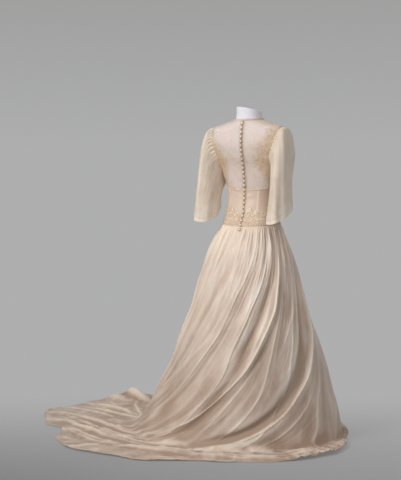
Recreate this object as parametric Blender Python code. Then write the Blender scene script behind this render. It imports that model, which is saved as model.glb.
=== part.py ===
"""Silk wedding gown with a buttoned back and a train swept to one side, worn by a limbless
dress form on a stand. Metres, +Z up, the wearer's front looks along -Y, their left is +X."""
import math

import bmesh
import bpy
import numpy as np

for old in list(bpy.data.objects):
    bpy.data.objects.remove(old, do_unlink=True)

# Cloth sizes
CLOTH = 0.0015          # wall of every cloth piece
SEAM = 0.0003           # gap between sewn pieces
FORM_GAP = 0.0065       # from the outside of the bodice down to the form
SEAM_DROP = 0.0005      # skirt top edge below the midriff edge

# Body of the gown, a ring per level. Side, back and front points of each ring;
# square is the exponent of the ring's rounded outline.
# level, side_x, side_y, side_z, back_y, back_z, front_y, front_z, square
LEVELS = (
    ("hip_low", 0.150, 0.010, 0.800, 0.128, 0.800, -0.100, 0.800, 2.2),
    ("skirt_seam", 0.130, 0.012, 0.945, 0.120, 0.938, -0.092, 0.950, 2.2),
    ("low_waist", 0.118, 0.004, 1.000, 0.096, 0.990, -0.084, 1.005, 2.2),
    ("waist", 0.115, 0.000, 1.060, 0.083, 1.060, -0.082, 1.060, 2.2),
    ("yoke_seam", 0.121, 0.004, 1.108, 0.082, 1.092, -0.098, 1.110, 2.3),
    ("bust", 0.140, 0.016, 1.190, 0.094, 1.190, -0.126, 1.180, 2.5),
    ("underarm", 0.160, 0.026, 1.245, 0.110, 1.245, -0.116, 1.235, 2.7),
    ("armhole_mid", 0.177, 0.038, 1.308, 0.119, 1.300, -0.090, 1.275, 2.9),
    ("shoulder_tip", 0.168, 0.048, 1.366, 0.116, 1.345, -0.062, 1.305, 2.7),
    ("mid_shoulder", 0.116, 0.045, 1.387, 0.110, 1.374, -0.040, 1.330, 2.4),
    ("neckline", 0.068, 0.040, 1.402, 0.102, 1.398, -0.024, 1.356, 2.0),
)
SKIRT_SEAM = 1
YOKE_SEAM = 4
SHOULDER_TIP = 8
NECKLINE = 10
UNDERARM = 4.45         # level where the deep armhole begins
ARMHOLE_BACK = (33.0, 46.0)         # how far the left and right armholes reach to the back, degrees
ARMHOLE_FRONT = 36.0    # and both round to the front
BUST = (28.0, 0.016, 11.0, 0.9)     # each side of centre, rise, half-width degrees, levels

# Panel meshes
QUARTER_COLUMNS = 6     # bodice columns in a quarter turn
ARMHOLE_ROWS = 12
MIDRIFF_LEVELS = np.array([1.0, 1.5, 2.0, 2.5, 3.0, 3.5, 4.0])

# Neck binding
BINDING = (0.007, 0.0022)           # height, wall
BINDING_ENDS = (90.6, 449.4)        # plan angles of its two ends at the centre back

# Sleeves
SLEEVE_SPLIT = 2        # sleeve columns to each bodice edge step
SLEEVE_FOLDS = 12
SLEEVE_HEM = (0.180, 0.098, 0.046, 0.086)       # centre x and y, half-width, half-depth
SLEEVE_HEM_Z = (0.985, 0.050, 0.030, 0.010)     # middle, rise at the front, fall at back, outer rise
SLEEVE_ROWS = (0.05, 0.13, 0.23, 0.35, 0.48, 0.62, 0.75, 0.88, 1.0)
SLEEVE_GATHERS = (0.003, 0.007)                 # height of the folds at the head, more below

# Skirt
SKIRT_COLUMNS = 112
GATHERS = 28
GATHER_RISE = 0.0055
FALL_ROWS = (0.0, 0.022, 0.06, 0.12, 0.20, 0.30, 0.41, 0.52, 0.63, 0.74, 0.84, 0.92, 1.0)
FLOOR_ROWS = (0.25, 0.5, 0.75, 1.0)
# Growth of the skirt's radius below the seam: share of the fall, then toward the wearer's
# left, back right (toward the viewer), right and front
PROFILE = (
    (0.00, 0.000, 0.000, 0.000, 0.000),
    (0.06, 0.032, 0.026, 0.022, 0.030),
    (0.19, 0.086, 0.066, 0.074, 0.085),
    (0.35, 0.130, 0.112, 0.120, 0.130),
    (0.50, 0.178, 0.148, 0.168, 0.170),
    (0.62, 0.222, 0.172, 0.210, 0.200),
    (0.75, 0.276, 0.200, 0.248, 0.240),
    (0.87, 0.342, 0.228, 0.284, 0.266),
    (1.00, 0.400, 0.262, 0.306, 0.286),
)
PROFILE_TURN = 30.0     # plan angle of the first column, the others 90 degrees apart
SWEEP = (0.95, 1.45)    # share of the turn toward the train: amount at the floor, power
SOFT_FLOOR = 0.026
HEM_WAVE = 0.010        # how far the hem line waves in and out
# Hem on the floor: plan angle, radius
HEM = (
    (-162, 0.430), (-132, 0.418), (-100, 0.418), (-70, 0.445), (-45, 0.510), (-28, 0.600),
    (-17, 0.720), (-9, 0.840), (-3, 0.920), (4, 0.960), (11, 1.035), (21, 0.980),
    (27, 0.935), (31, 0.868), (39, 0.880), (48, 0.868), (61, 0.755), (71, 0.685),
    (83, 0.592), (96, 0.525), (111, 0.490), (131, 0.488), (147, 0.500), (170, 0.485),
)
# Where the cloth at each waist angle ends at the hem: waist angle, hem angle
SWIRL = (
    (-90, -95), (-45, -50), (-20, -28), (0, -16), (20, -8), (45, 1), (70, 9), (90, 16),
    (110, 26), (130, 39), (150, 56), (170, 78), (190, 106), (210, 138), (230, 172), (250, 212),
)
# Folds. Waist angle of the crest where the row is 0.1, 0.45, 0.8, 0.95, 1.1 and 1.6,
# row where it starts, rise on the fall, rise on the floor, half-width in degrees.
# A falling rise is a hollow.
FOLD_ROWS = (0.1, 0.45, 0.8, 0.95, 1.1, 1.6)
FOLDS = (
    ("left_far", 10, 14, 16, 16, 16, 16, 0.06, 0.016, 0.014, 7),
    ("left_edge", 28, 43, 46, 46, 44, 42, 0.06, 0.018, 0.012, 7),
    ("left_back", 67, 55, 52, 50, 48, 46, 0.04, 0.020, 0.016, 7),
    ("left_hollow", 94, 79, 72, 70, 68, 66, 0.10, -0.014, -0.006, 6),
    ("centre", 102, 94, 90, 88, 88, 86, 0.08, 0.016, 0.018, 6),
    ("sweep_one", 121, 111, 114, 120, 112, 105, 0.06, 0.030, 0.026, 7),
    ("branch", 112, 107, 81, 78, 76, 74, 0.36, 0.012, 0.010, 5),
    ("flank", 143, 136, 149, 151, 146, 136, 0.04, 0.026, 0.014, 7),
    ("middle_hollow", 160, 149, 156, 158, 150, 140, 0.06, -0.020, -0.004, 5),
    ("sweep_two", 163, 161, 156, 149, 136, 120, 0.08, 0.034, 0.026, 6),
    ("beside", 166, 170, 181, 177, 166, 150, 0.15, 0.014, 0.006, 5),
    ("upright", 182, 186, 195, 192, 182, 170, 0.20, 0.016, 0.004, 5),
    ("right_hollow", 196, 200, 197, 187, 171, 150, 0.10, -0.026, -0.010, 5),
    ("sweep_three", 210, 213, 204, 185, 160, 143, 0.12, 0.034, 0.024, 6),
    ("low_sweep", 218, 218, 213, 203, 186, 172, 0.62, 0.016, 0.012, 5),
    ("right_back", 222, 221, 219, 222, 222, 222, 0.45, 0.016, 0.016, 5),
    ("right_edge", 238, 238, 236, 235, 235, 235, 0.10, 0.020, 0.018, 6),
    ("right_front", 254, 252, 252, 252, 252, 252, 0.06, 0.018, 0.016, 7),
    ("front_right", 271, 270, 270, 270, 270, 270, 0.10, 0.016, 0.014, 7),
    ("front", 287, 286, 286, 286, 286, 286, 0.05, 0.020, 0.018, 7),
    ("front_left", 304, 303, 303, 303, 303, 303, 0.12, 0.016, 0.014, 7),
    ("left_front", 319, 321, 321, 321, 321, 321, 0.06, 0.020, 0.014, 7),
    ("left_low", 338, 337, 337, 337, 337, 337, 0.08, 0.018, 0.020, 7),
    ("far_train", 353, 355, 355, 355, 355, 355, 0.06, 0.018, 0.026, 7),
)
TROUGH = 0.009          # mean depth taken from between the folds
# Cloth standing up at the far edge of the train: waist angle, half-width, rise, ripples
CREST = (8.0, 13.0, 0.046, 24.0)
# Gores: name, first and last column
GORES = (
    ("skirt_side_left", 0, 18), ("skirt_back_left", 18, 37), ("skirt_back_right", 37, 56),
    ("skirt_side_right", 56, 75), ("skirt_front_right", 75, 93), ("skirt_front_left", 93, 112),
)
CENTRE_BACK_COLUMN = 37

# Buttons
BUTTONS = 25
BUTTON_TOP_Z = 1.386
BUTTON_LOW_Z = 0.922
# radius, height over the cloth
BUTTON_OUTLINE = ((0.0030, 0.0), (0.0057, 0.0016), (0.0050, 0.0040), (0.0026, 0.0055))
BUTTON_SIDES = 8
BUTTON_CLEAR = 0.0008   # between the cloth and a button's foot
BUTTON_CROWN = 0.0005   # rise of the middle over the last ring

# Lace band on the midriff
LACE = (0.0011, 0.0007)             # wall, gap under it
LACE_SPLIT = 3
LACE_HEIGHT = (0.28, 0.42)          # share of the midriff's height in the dips and the scallops

# Dress form
NECK = (0.040, 0.0565, 1.447, 0.0085)            # centre y, radius, top height, slope of the top
NECK_FLARE = 1.03       # width of its foot over its top
FORM_LOW_Z = 0.780
FORM_SIDES = 24
UNDERSIDE = 0.72        # width of the torso's flat underside over its lowest ring
POLE = 0.014            # radius
BASE = (0.150, 0.014)               # radius, height
HUB = (0.030, 0.022, 0.010)         # foot and top radius of the base's hub, height


def soft_line(xs, ys, at):
    """Smooth curve through (xs, ys) that never overshoots, taken at the values at."""
    xs = np.asarray(xs, float)
    ys = np.asarray(ys, float)
    at = np.asarray(at, float)
    step = np.diff(xs)
    slope = np.diff(ys) / step
    lean = np.zeros_like(ys)
    product = slope[:-1] * slope[1:]
    total = slope[:-1] + slope[1:]
    rising = product > 0
    lean[1:-1][rising] = 2 * product[rising] / total[rising]
    lean[0] = slope[0]
    lean[-1] = slope[-1]
    i = np.clip(np.searchsorted(xs, at) - 1, 0, len(xs) - 2)
    t = np.clip((at - xs[i]) / step[i], 0, 1)
    start = ys[i] * (1 + 2 * t) * (1 - t) ** 2 + lean[i] * step[i] * t * (1 - t) ** 2
    end = ys[i + 1] * t * t * (3 - 2 * t) - lean[i + 1] * step[i] * t * t * (1 - t)
    return start + end


def ring_line(table, at):
    """Smooth closed curve through a table of (angle, value), taken at angles in degrees."""
    angles = np.array([row[0] for row in table], float)
    values = np.array([row[1] for row in table], float)
    angles = np.concatenate([angles - 360, angles, angles + 360])
    values = np.concatenate([values, values, values])
    wrapped = (np.asarray(at, float) + 180) % 360 - 180
    return soft_line(angles, values, wrapped)


def unit(vectors):
    length = np.linalg.norm(vectors, axis=-1, keepdims=True)
    return vectors / np.maximum(length, 1e-12)


def fade(at, start, end):
    """0 before start, 1 after end, smooth between."""
    t = np.clip((at - start) / (end - start), 0, 1)
    return t * t * (3 - 2 * t)


# The worn body surface

def level_value(column, level):
    rows = np.arange(len(LEVELS))
    return soft_line(rows, [row[column] for row in LEVELS], level)


def body_base(phi, level):
    """Point of the bodice at plan angle phi (degrees) and level."""
    phi = np.radians(np.asarray(phi, float))
    power = 2.0 / level_value(8, level)
    cosine = np.cos(phi)
    sine = np.sin(phi)
    across = np.abs(sine) ** power
    back = sine >= 0
    far_y = np.where(back, level_value(4, level), level_value(6, level))
    far_z = np.where(back, level_value(5, level), level_value(7, level))
    x = level_value(1, level) * np.sign(cosine) * np.abs(cosine) ** power
    side_y = level_value(2, level)
    side_z = level_value(3, level)
    y = side_y + (far_y - side_y) * across
    z = side_z + (far_z - side_z) * sine ** 2
    offset, rise, wide, tall = BUST
    turn = np.degrees(phi) % 360
    lobe = sum(np.exp(-((turn - 270 - side * offset) / wide) ** 2) for side in (-1, 1))
    y = y - rise * lobe * np.exp(-((level - 5.0) / tall) ** 2)
    return np.stack(np.broadcast_arrays(x, y, z), -1)


def body_normal(phi, level):
    phi = np.asarray(phi, float)
    level = np.asarray(level, float)
    up = np.minimum(level + 0.02, NECKLINE)
    down = np.maximum(level - 0.02, 0)
    along = body_base(phi + 0.5, level) - body_base(phi - 0.5, level)
    rise = body_base(phi, up) - body_base(phi, down)
    return unit(np.cross(along, rise))


def body_point(phi, level, out=0.0):
    return body_base(phi, level) + out * body_normal(phi, level)


# Closed cloth walls from grids of points

def wall_faces(rows, columns, wrap):
    """Triangles of a wall and its edge strips. Both sides, and edges that meet at a seam, are
    split along the same diagonal, so neighbours never cross."""
    count = rows * columns
    last = columns if wrap else columns - 1
    faces = []
    for r in range(rows - 1):
        for c in range(last):
            a = r * columns + c
            b = r * columns + (c + 1) % columns
            d = a + columns
            e = b + columns
            faces += [(a, b, e), (a, e, d)]
            faces += [(count + a, count + e, count + b), (count + a, count + d, count + e)]
    edges = []
    for c in range(last):
        after = (c + 1) % columns
        edges += [(c, after, 1), (count - columns + c, count - columns + after, -1)]
    if not wrap:
        for r in range(0, count - columns, columns):
            edges += [(r + columns - 1, r + 2 * columns - 1, 1), (r, r + columns, -1)]
    for p, q, side in edges:
        faces += [(p, count + p, count + q)[::side], (p, count + q, q)[::side]]
    return faces


def pull_in(grid, pulled, wrap=False, rows=True):
    """Moves the edge points of a grid inward by half a seam gap."""
    grid = grid.copy()
    if rows:
        grid[0] += unit(grid[1] - grid[0]) * pulled
        grid[-1] += unit(grid[-2] - grid[-1]) * pulled
    if not wrap:
        grid[:, 0] += unit(grid[:, 1] - grid[:, 0]) * pulled
        grid[:, -1] += unit(grid[:, -2] - grid[:, -1]) * pulled
    return grid


def material(name, colour, roughness, sheen=0.0):
    made = bpy.data.materials.new(name)
    made.use_nodes = True
    shader = made.node_tree.nodes["Principled BSDF"]
    shader.inputs["Base Color"].default_value = (*colour, 1.0)
    shader.inputs["Roughness"].default_value = roughness
    shader.inputs["Sheen Weight"].default_value = sheen
    made.diffuse_color = (*colour, 1.0)
    return made


def add_body(name, points, faces, look):
    mesh = bpy.data.meshes.new(name)
    mesh.from_pydata([tuple(map(float, p)) for p in points], [], faces)
    mesh.validate()
    shaped = bmesh.new()
    shaped.from_mesh(mesh)
    bmesh.ops.recalc_face_normals(shaped, faces=shaped.faces)
    shaped.to_mesh(mesh)
    shaped.free()
    mesh.materials.append(look)
    body = bpy.data.objects.new(name, mesh)
    PIECES.objects.link(body)
    return body


def add_wall(name, outer, inner, look, wrap=False):
    rows, columns = outer.shape[:2]
    points = np.concatenate([outer.reshape(-1, 3), inner.reshape(-1, 3)])
    return add_body(name, points, wall_faces(rows, columns, wrap), look)


# Bodice

def armhole_share(level):
    """How far open the armhole is at a level, 0 closed to 1 widest."""
    middle = (UNDERARM + SHOULDER_TIP) / 2
    half = (SHOULDER_TIP - UNDERARM) / 2
    return np.sqrt(np.clip(1 - ((level - middle) / half) ** 2, 0, 1))


def yoke_levels():
    turn = np.linspace(0, math.pi, ARMHOLE_ROWS + 1)
    middle = UNDERARM + (SHOULDER_TIP - UNDERARM) * (1 - np.cos(turn)) / 2
    return np.concatenate([[YOKE_SEAM, 4.2], middle, [8.7, 9.35, NECKLINE]])


def panel_grid(levels, first, last, columns, inset):
    """Outer and inner points between two edges given as angles at each level."""
    share = np.linspace(0, 1, columns + 1)
    phi = first[:, None] + (last - first)[:, None] * share[None, :]
    level = np.broadcast_to(levels[:, None], phi.shape)
    outer = body_point(phi, level)
    inner = outer - CLOTH * body_normal(phi, level)
    return pull_in(outer, inset), pull_in(inner, inset)


def build_yokes():
    levels = yoke_levels()
    share = armhole_share(levels)
    half = SEAM / 2
    left, right = ARMHOLE_BACK
    back_left = panel_grid(levels, left * share, np.full_like(share, 90.0),
                           QUARTER_COLUMNS, half)
    back_right = panel_grid(levels, np.full_like(share, 90.0), 180 - right * share,
                            QUARTER_COLUMNS, half)
    front = panel_grid(levels, 180 + ARMHOLE_FRONT * share, 360 - ARMHOLE_FRONT * share,
                       2 * QUARTER_COLUMNS, half)
    add_wall("back_yoke_left", *back_left, SHEER)
    add_wall("back_yoke_right", *back_right, SHEER)
    add_wall("front_yoke", *front, SHEER)


def midriff_grid(first, last, columns):
    ends = np.ones_like(MIDRIFF_LEVELS)
    return panel_grid(MIDRIFF_LEVELS, first * ends, last * ends, columns, SEAM / 2)


def build_midriff():
    columns = QUARTER_COLUMNS
    add_wall("midriff_back_left", *midriff_grid(0.0, 90.0, columns), SATIN)
    add_wall("midriff_back_right", *midriff_grid(90.0, 180.0, columns), SATIN)
    add_wall("midriff_front", *midriff_grid(180.0, 360.0, 2 * columns), SATIN)


def build_lace(name, first, last, start, end):
    """Scalloped band over the lower rows of a midriff panel, made from its points.
    start and end are how many panel columns it leaves free at its two ends."""
    outer, inner = midriff_grid(first, last, QUARTER_COLUMNS)
    normal = unit(outer - inner)
    wall, gap = LACE
    steps = QUARTER_COLUMNS * LACE_SPLIT
    at = np.clip(np.arange(steps + 1) / LACE_SPLIT, start, QUARTER_COLUMNS - end)
    column = np.minimum(at.astype(int), QUARTER_COLUMNS - 1)
    part = (at - column)[:, None]
    low, high = LACE_HEIGHT
    rows = len(MIDRIFF_LEVELS) - 1
    top = (low + (high - low) * (np.arange(steps + 1) % LACE_SPLIT > 0)) * rows
    under = []
    for share in (0.02, 0.5, 1.0):
        level = top * share
        row = np.minimum(level.astype(int), rows - 1)
        lift = (level - row)[:, None]
        low_side = np.minimum(lift, part)
        corners = [1 - np.maximum(lift, part), part - low_side, lift - low_side, low_side]
        places = [(row, column), (row, column + 1), (row + 1, column), (row + 1, column + 1)]
        spot = sum(w * outer[p] for w, p in zip(corners, places))
        facing = unit(sum(w * normal[p] for w, p in zip(corners, places)))
        under.append((spot, facing))
    spots = np.array([item[0] for item in under])
    facings = np.array([item[1] for item in under])
    add_wall(name, spots + (gap + wall) * facings, spots + gap * facings, LACE_CLOTH)


def build_binding():
    height, wall = BINDING
    phi = np.linspace(*BINDING_ENDS, 33)
    level = np.full_like(phi, NECKLINE)
    foot = body_point(phi, level, 0.0003)
    normal = body_normal(phi, level)
    rise = np.array([0.0, 0.0, 1.0])
    lift = np.array([SEAM + 0.0001, height])[:, None, None]
    outer = foot[None] + lift * rise
    flat = unit(normal * np.array([1.0, 1.0, 0.0]))
    add_wall("neck_binding", outer, outer - wall * flat[None], SATIN)


# Sleeves

def armhole_edge(back):
    """Bodice points round a left armhole that reaches back degrees to the back: up the back
    edge, down the front edge."""
    levels = yoke_levels()
    inside = (levels >= UNDERARM - 1e-9) & (levels <= SHOULDER_TIP + 1e-9)
    levels = levels[inside]
    share = armhole_share(levels)
    phi = np.concatenate([back * share, -ARMHOLE_FRONT * share[-2:0:-1]])
    levels = np.concatenate([levels, levels[-2:0:-1]])
    return body_point(phi, levels), body_normal(phi, levels)


def split_loop(loop, parts):
    """Points of a closed loop with each step cut in equal parts."""
    ahead = np.roll(loop, -1, axis=0)
    share = np.arange(parts) / parts
    return (loop[:, None] * (1 - share)[None, :, None]
            + ahead[:, None] * share[None, :, None]).reshape(-1, 3)


def sleeve_grid(split, rows, back):
    """Outer points and normals of a left sleeve, a column for each part of the armhole.
    back is how far its armhole reaches to the back."""
    loop, normals = armhole_edge(back)
    edge = split_loop(loop, split)
    facing = unit(split_loop(normals, split))
    count = len(edge)
    psi = 2 * math.pi * np.arange(count) / count        # 0 underarm, 90 back, 180 shoulder
    centre_x, centre_y, half_x, half_y = SLEEVE_HEM
    middle_z, front_rise, back_fall, outer_rise = SLEEVE_HEM_Z
    sine = np.sin(psi)
    cosine = np.cos(psi)
    hem_x = centre_x - half_x * np.sign(cosine) * np.abs(cosine) ** 0.85
    hem_y = centre_y + half_y * np.sign(sine) * np.abs(sine) ** 0.9
    hem_z = middle_z + np.where(sine < 0, -front_rise * sine, -back_fall * sine)
    hem_z = hem_z - outer_rise * cosine
    hem = np.stack([hem_x, hem_y, hem_z], -1)
    top = (1 - cosine) / 2                               # 0 underarm to 1 shoulder
    behind = np.maximum(sine, 0)
    leave = np.stack([0.35 + 0.55 * top, 0.15 + 0.30 * sine + 0.55 * behind * top,
                      -0.85 + 1.15 * top], -1)
    leave = unit(leave) * (0.10 + 0.08 * top + 0.05 * behind * top)[:, None]
    arrive = np.stack([0.02 - 0.04 * cosine, 0.05 * sine, -0.25 - 0.20 * top], -1)
    hole_middle = loop.mean(axis=0)
    inward = unit(hole_middle - edge)
    inward = unit(inward - (inward * facing).sum(-1, keepdims=True) * facing)
    start = edge + SEAM * inward + 0.0004 * (1 - top)[:, None] * facing
    grid = [start]
    for t in rows:
        a = (1 + 2 * t) * (1 - t) ** 2
        b = t * (1 - t) ** 2
        c = t * t * (3 - 2 * t)
        d = -t * t * (1 - t)
        grid.append(a * start + b * leave + c * hem + d * arrive)
    grid = np.array(grid)
    smooth = -surface_normals(grid, True)
    share = np.concatenate([[0.0], rows])
    head, below = SLEEVE_GATHERS
    deep = head * fade(share, 0.0, 0.12) + below * fade(share, 0.15, 1.0)
    uneven = 1 + 0.35 * np.sin(3 * psi + 0.7) + 0.2 * np.sin(5 * psi)
    wave = np.cos(SLEEVE_FOLDS * psi + 0.5 * np.sin(2 * psi)) * uneven
    grid = grid + (deep[:, None] * wave[None, :])[..., None] * smooth
    return grid, -surface_normals(grid, True)


def surface_normals(grid, wrap):
    """Outward normals of a grid whose columns run to the left seen from outside, rows down."""
    if wrap:
        across = np.roll(grid, -1, axis=1) - np.roll(grid, 1, axis=1)
    else:
        across = np.gradient(grid, axis=1)
    down = np.gradient(grid, axis=0)
    return unit(np.cross(across, -down))


def build_sleeves():
    for name, back, side in zip(("sleeve_left", "sleeve_right"), ARMHOLE_BACK, (1.0, -1.0)):
        outer, normal = sleeve_grid(SLEEVE_SPLIT, SLEEVE_ROWS, back)
        inner = outer - CLOTH * normal
        flip = np.array([side, 1.0, 1.0])
        add_wall(name, outer * flip, inner * flip, SILK, wrap=True)


# Skirt

def skirt_turn(waist_angle):
    """Hem angle of the cloth that starts at a waist angle, both in degrees."""
    table = [((a + 180) % 360 - 180, b - a) for a, b in SWIRL]
    return waist_angle + ring_line(sorted(table), waist_angle)


def profile_growth(angle, share):
    """Growth of the radius at plan angle and share of the fall."""
    shares = [row[0] for row in PROFILE]
    four = [soft_line(shares, [row[k] for row in PROFILE], np.minimum(share, 1.0))
            for k in range(1, 5)]
    turn = np.radians(angle - PROFILE_TURN)
    mean = sum(four) / 4
    first = (four[0] - four[2]) / 2
    second = (four[1] - four[3]) / 2
    double = (four[0] + four[2] - four[1] - four[3]) / 4
    return mean + first * np.cos(turn) + second * np.sin(turn) + double * np.cos(2 * turn)


def hem_wave(waist_angle):
    """Uneven in and out of the hem line, -1 to 1."""
    turn = np.radians(waist_angle)
    return 0.5 * np.cos(19 * turn + 0.6) + 0.3 * np.cos(13 * turn) + 0.2 * np.sin(31 * turn)


def skirt_base(waist_angle, row):
    """Skirt without its folds. row runs 0 to 1 down the fall, then 1 to 2 over the floor."""
    top = body_base(waist_angle, float(SKIRT_SEAM))
    start = np.degrees(np.arctan2(top[..., 1], top[..., 0]))
    start = start + 360 * np.round((waist_angle - start) / 360)
    ring = np.hypot(top[..., 0], top[..., 1])
    share = np.minimum(row, 1.0)
    amount, power = SWEEP
    end = skirt_turn(waist_angle)
    floor = np.maximum(row - 1.0, 0.0)
    swept = amount * share ** power + (1 - amount) * floor
    angle = start + (end - start) * swept
    radius = ring + profile_growth(angle, share)
    hem = np.maximum(ring_line(HEM, end), radius + 0.012) + HEM_WAVE * hem_wave(waist_angle)
    radius = radius + (hem - radius) * floor
    falling = (top[..., 2] - SEAM_DROP) * (1 - row)
    height = SOFT_FLOOR * np.logaddexp(0, falling / SOFT_FLOOR)
    height = np.where(row > 1, height * (1 - floor) ** 2, height)
    turn = np.radians(angle)
    flat = np.stack([radius * np.cos(turn), radius * np.sin(turn)], -1)
    blend = fade(share, 0.0, 0.05)[..., None]
    flat = flat * blend + (top[..., :2] + unit(top[..., :2]) * (radius - ring)[..., None]) * (1 - blend)
    return np.concatenate([flat, height[..., None]], -1)


def skirt_fold(waist_angle, row):
    """Rise of the folds over the plain skirt."""
    floor = fade(row, 0.84, 1.10)
    rise = -TROUGH * fade(row, 0.06, 0.40) * (1 - floor)
    for fold in FOLDS:
        start, high, floor_high, wide = fold[7:]
        crest = soft_line(FOLD_ROWS, fold[1:7], row)
        away = (waist_angle - crest + 180) % 360 - 180
        tall = (high * (1 - floor) + floor_high * floor) * fade(row, start, start + 0.32)
        rise = rise + tall * np.exp(-(away / (wide * (1 + 0.3 * floor))) ** 2)
    placket = (waist_angle - 90.0 + 180) % 360 - 180
    gather = -np.cos(np.radians(placket) * GATHERS) * (1 - np.exp(-(placket / 7.0) ** 2))
    turn = np.radians(waist_angle)
    uneven = 1 + 0.3 * np.sin(5 * turn) + 0.25 * np.sin(9 * turn + 0.7)
    puff = fade(row, 0.0, 0.05) * (1 - fade(row, 0.10, 0.45))
    middle, wide, lift, ripples = CREST
    away = (waist_angle - middle + 180) % 360 - 180
    crest = lift * np.exp(-(away / wide) ** 2) * fade(row, 1.45, 2.0)
    crest = crest * (1 + 0.3 * np.cos(np.radians(away) * ripples))
    return rise + GATHER_RISE * puff * uneven * gather + crest


def skirt_grid(angles, rows):
    """Outer points over waist angles and rows."""
    waist_angle, row = np.meshgrid(angles, rows)
    step = 0.5
    down = 0.01
    base = skirt_base(waist_angle, row)
    across = skirt_base(waist_angle + step, row) - skirt_base(waist_angle - step, row)
    lower = skirt_base(waist_angle, np.minimum(row + down, 2.0))
    upper = skirt_base(waist_angle, np.maximum(row - down, 0.0))
    facing = unit(np.cross(across, upper - lower))
    rise = skirt_fold(waist_angle, row)
    rise = np.where(rise < 0, rise * (1 - fade(row, 0.84, 1.02)), rise)
    grid = base + rise[..., None] * facing
    grid[..., 2] += (CLOTH + 0.0002) * fade(row, 0.0, 0.3)
    floor_line = CLOTH + 0.0002
    grid[..., 2] = np.where(row > 0.5, np.maximum(grid[..., 2], floor_line), grid[..., 2])
    return grid


def build_skirt():
    angles = 90.0 + 360.0 * (np.arange(SKIRT_COLUMNS + 1) - CENTRE_BACK_COLUMN) / SKIRT_COLUMNS
    rows = np.concatenate([FALL_ROWS, 1 + np.array(FLOOR_ROWS)])
    grid = skirt_grid(angles, rows)
    grid[:, -1] = grid[:, 0]
    normal = surface_normals(grid[:, :-1], True)
    normal = np.concatenate([normal, normal[:, :1]], axis=1)
    normal[0] = body_normal(angles, np.full_like(angles, float(SKIRT_SEAM)))
    inner = grid - CLOTH * normal
    inner[..., 2] = np.maximum(inner[..., 2], 0.0)
    for name, first, last in GORES:
        part = slice(first, last + 1)
        outer_part = pull_in(grid[:, part], SEAM / 2, rows=False)
        inner_part = pull_in(inner[:, part], SEAM / 2, rows=False)
        add_wall(name, outer_part[::-1], inner_part[::-1], SILK)


# Buttons

def back_line(z):
    """Point and facing of the centre back at a height, on the rows of the sewn panels."""
    levels = np.concatenate([MIDRIFF_LEVELS, yoke_levels()[1:]])
    bodice = body_base(np.full_like(levels, 90.0), levels)
    skirt = skirt_grid(np.array([90.0]), np.array(FALL_ROWS[:5]))[::-1, 0]
    line = np.concatenate([skirt, bodice])
    k = int(np.clip(np.searchsorted(line[:, 2], z) - 1, 0, len(line) - 2))
    rise = line[k + 1] - line[k]
    share = (z - line[k, 2]) / rise[2]
    return line[k] + share * rise, unit(np.array([0.0, rise[2], -rise[1]]))


def build_buttons():
    for i in range(BUTTONS):
        z = BUTTON_TOP_Z + (BUTTON_LOW_Z - BUTTON_TOP_Z) * i / (BUTTONS - 1)
        spot, out = back_line(z)
        side = np.array([1.0, 0.0, 0.0])
        up = np.cross(out, side)
        points = []
        for radius, height in BUTTON_OUTLINE:
            for k in range(BUTTON_SIDES):
                turn = 2 * math.pi * k / BUTTON_SIDES
                around = side * math.cos(turn) + up * math.sin(turn)
                points.append(spot + out * (BUTTON_CLEAR + height) + radius * around)
        points.append(spot + out * (BUTTON_CLEAR + BUTTON_OUTLINE[-1][1] + BUTTON_CROWN))
        faces = []
        for ring in range(len(BUTTON_OUTLINE) - 1):
            for k in range(BUTTON_SIDES):
                a = ring * BUTTON_SIDES + k
                b = ring * BUTTON_SIDES + (k + 1) % BUTTON_SIDES
                faces.append((a, b, b + BUTTON_SIDES, a + BUTTON_SIDES))
        crown = len(points) - 1
        first = (len(BUTTON_OUTLINE) - 1) * BUTTON_SIDES
        for k in range(BUTTON_SIDES):
            faces.append((first + k, first + (k + 1) % BUTTON_SIDES, crown))
        faces.append(tuple(range(BUTTON_SIDES - 1, -1, -1)))
        add_body("button_%02d" % (i + 1), points, faces, SATIN)


# Dress form

def ring_faces(rings, sides):
    faces = []
    for r in range(rings - 1):
        for k in range(sides):
            a = r * sides + k
            b = r * sides + (k + 1) % sides
            faces.append((a, b, b + sides, a + sides))
    faces.append(tuple(range(sides - 1, -1, -1)))
    faces.append(tuple(range((rings - 1) * sides, rings * sides)))
    return faces


def lathe(name, outline, sides, look):
    points = []
    for radius, height in outline:
        for k in range(sides):
            turn = 2 * math.pi * k / sides
            points.append((radius * math.cos(turn), radius * math.sin(turn), height))
    return add_body(name, points, ring_faces(len(outline), sides), look)


def build_torso():
    """Smooth torso under the gown, its neck and its sloping top."""
    phi = 360.0 * np.arange(FORM_SIDES) / FORM_SIDES
    turn = np.radians(phi)
    circle = np.stack([np.cos(turn), np.sin(turn), 0 * turn], -1)
    rings = [body_point(phi, np.full_like(phi, level), -FORM_GAP) for level in range(NECKLINE + 1)]
    bottom = rings[0] * np.array([UNDERSIDE, UNDERSIDE, 0.0]) + np.array([0.0, 0.0, FORM_LOW_Z])
    neck_y, neck_radius, top, slope = NECK
    middle = np.array([0.0, neck_y, 0.0])
    foot = middle + NECK_FLARE * neck_radius * circle
    foot[:, 2] = rings[-1][:, 2] + 0.004
    rings = [bottom] + rings + [foot]
    for share, height in ((1.0, top - 0.004), (0.92, top)):
        ring = middle + neck_radius * share * circle
        ring[:, 2] = height + slope * (np.sin(turn) + np.cos(turn))
        rings.append(ring)
    add_body("form_torso", np.concatenate(rings), ring_faces(len(rings), FORM_SIDES), FORM)


def build_stand():
    radius, height = BASE
    hub_foot, hub_top, hub_height = HUB
    outline = ((radius, 0.0), (radius - 0.003, height - 0.004), (hub_foot, height),
               (hub_top, height + hub_height))
    lathe("form_base", outline, FORM_SIDES, METAL)
    lathe("form_pole", ((POLE, height + hub_height + SEAM), (POLE, FORM_LOW_Z - SEAM)), 16, METAL)


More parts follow.
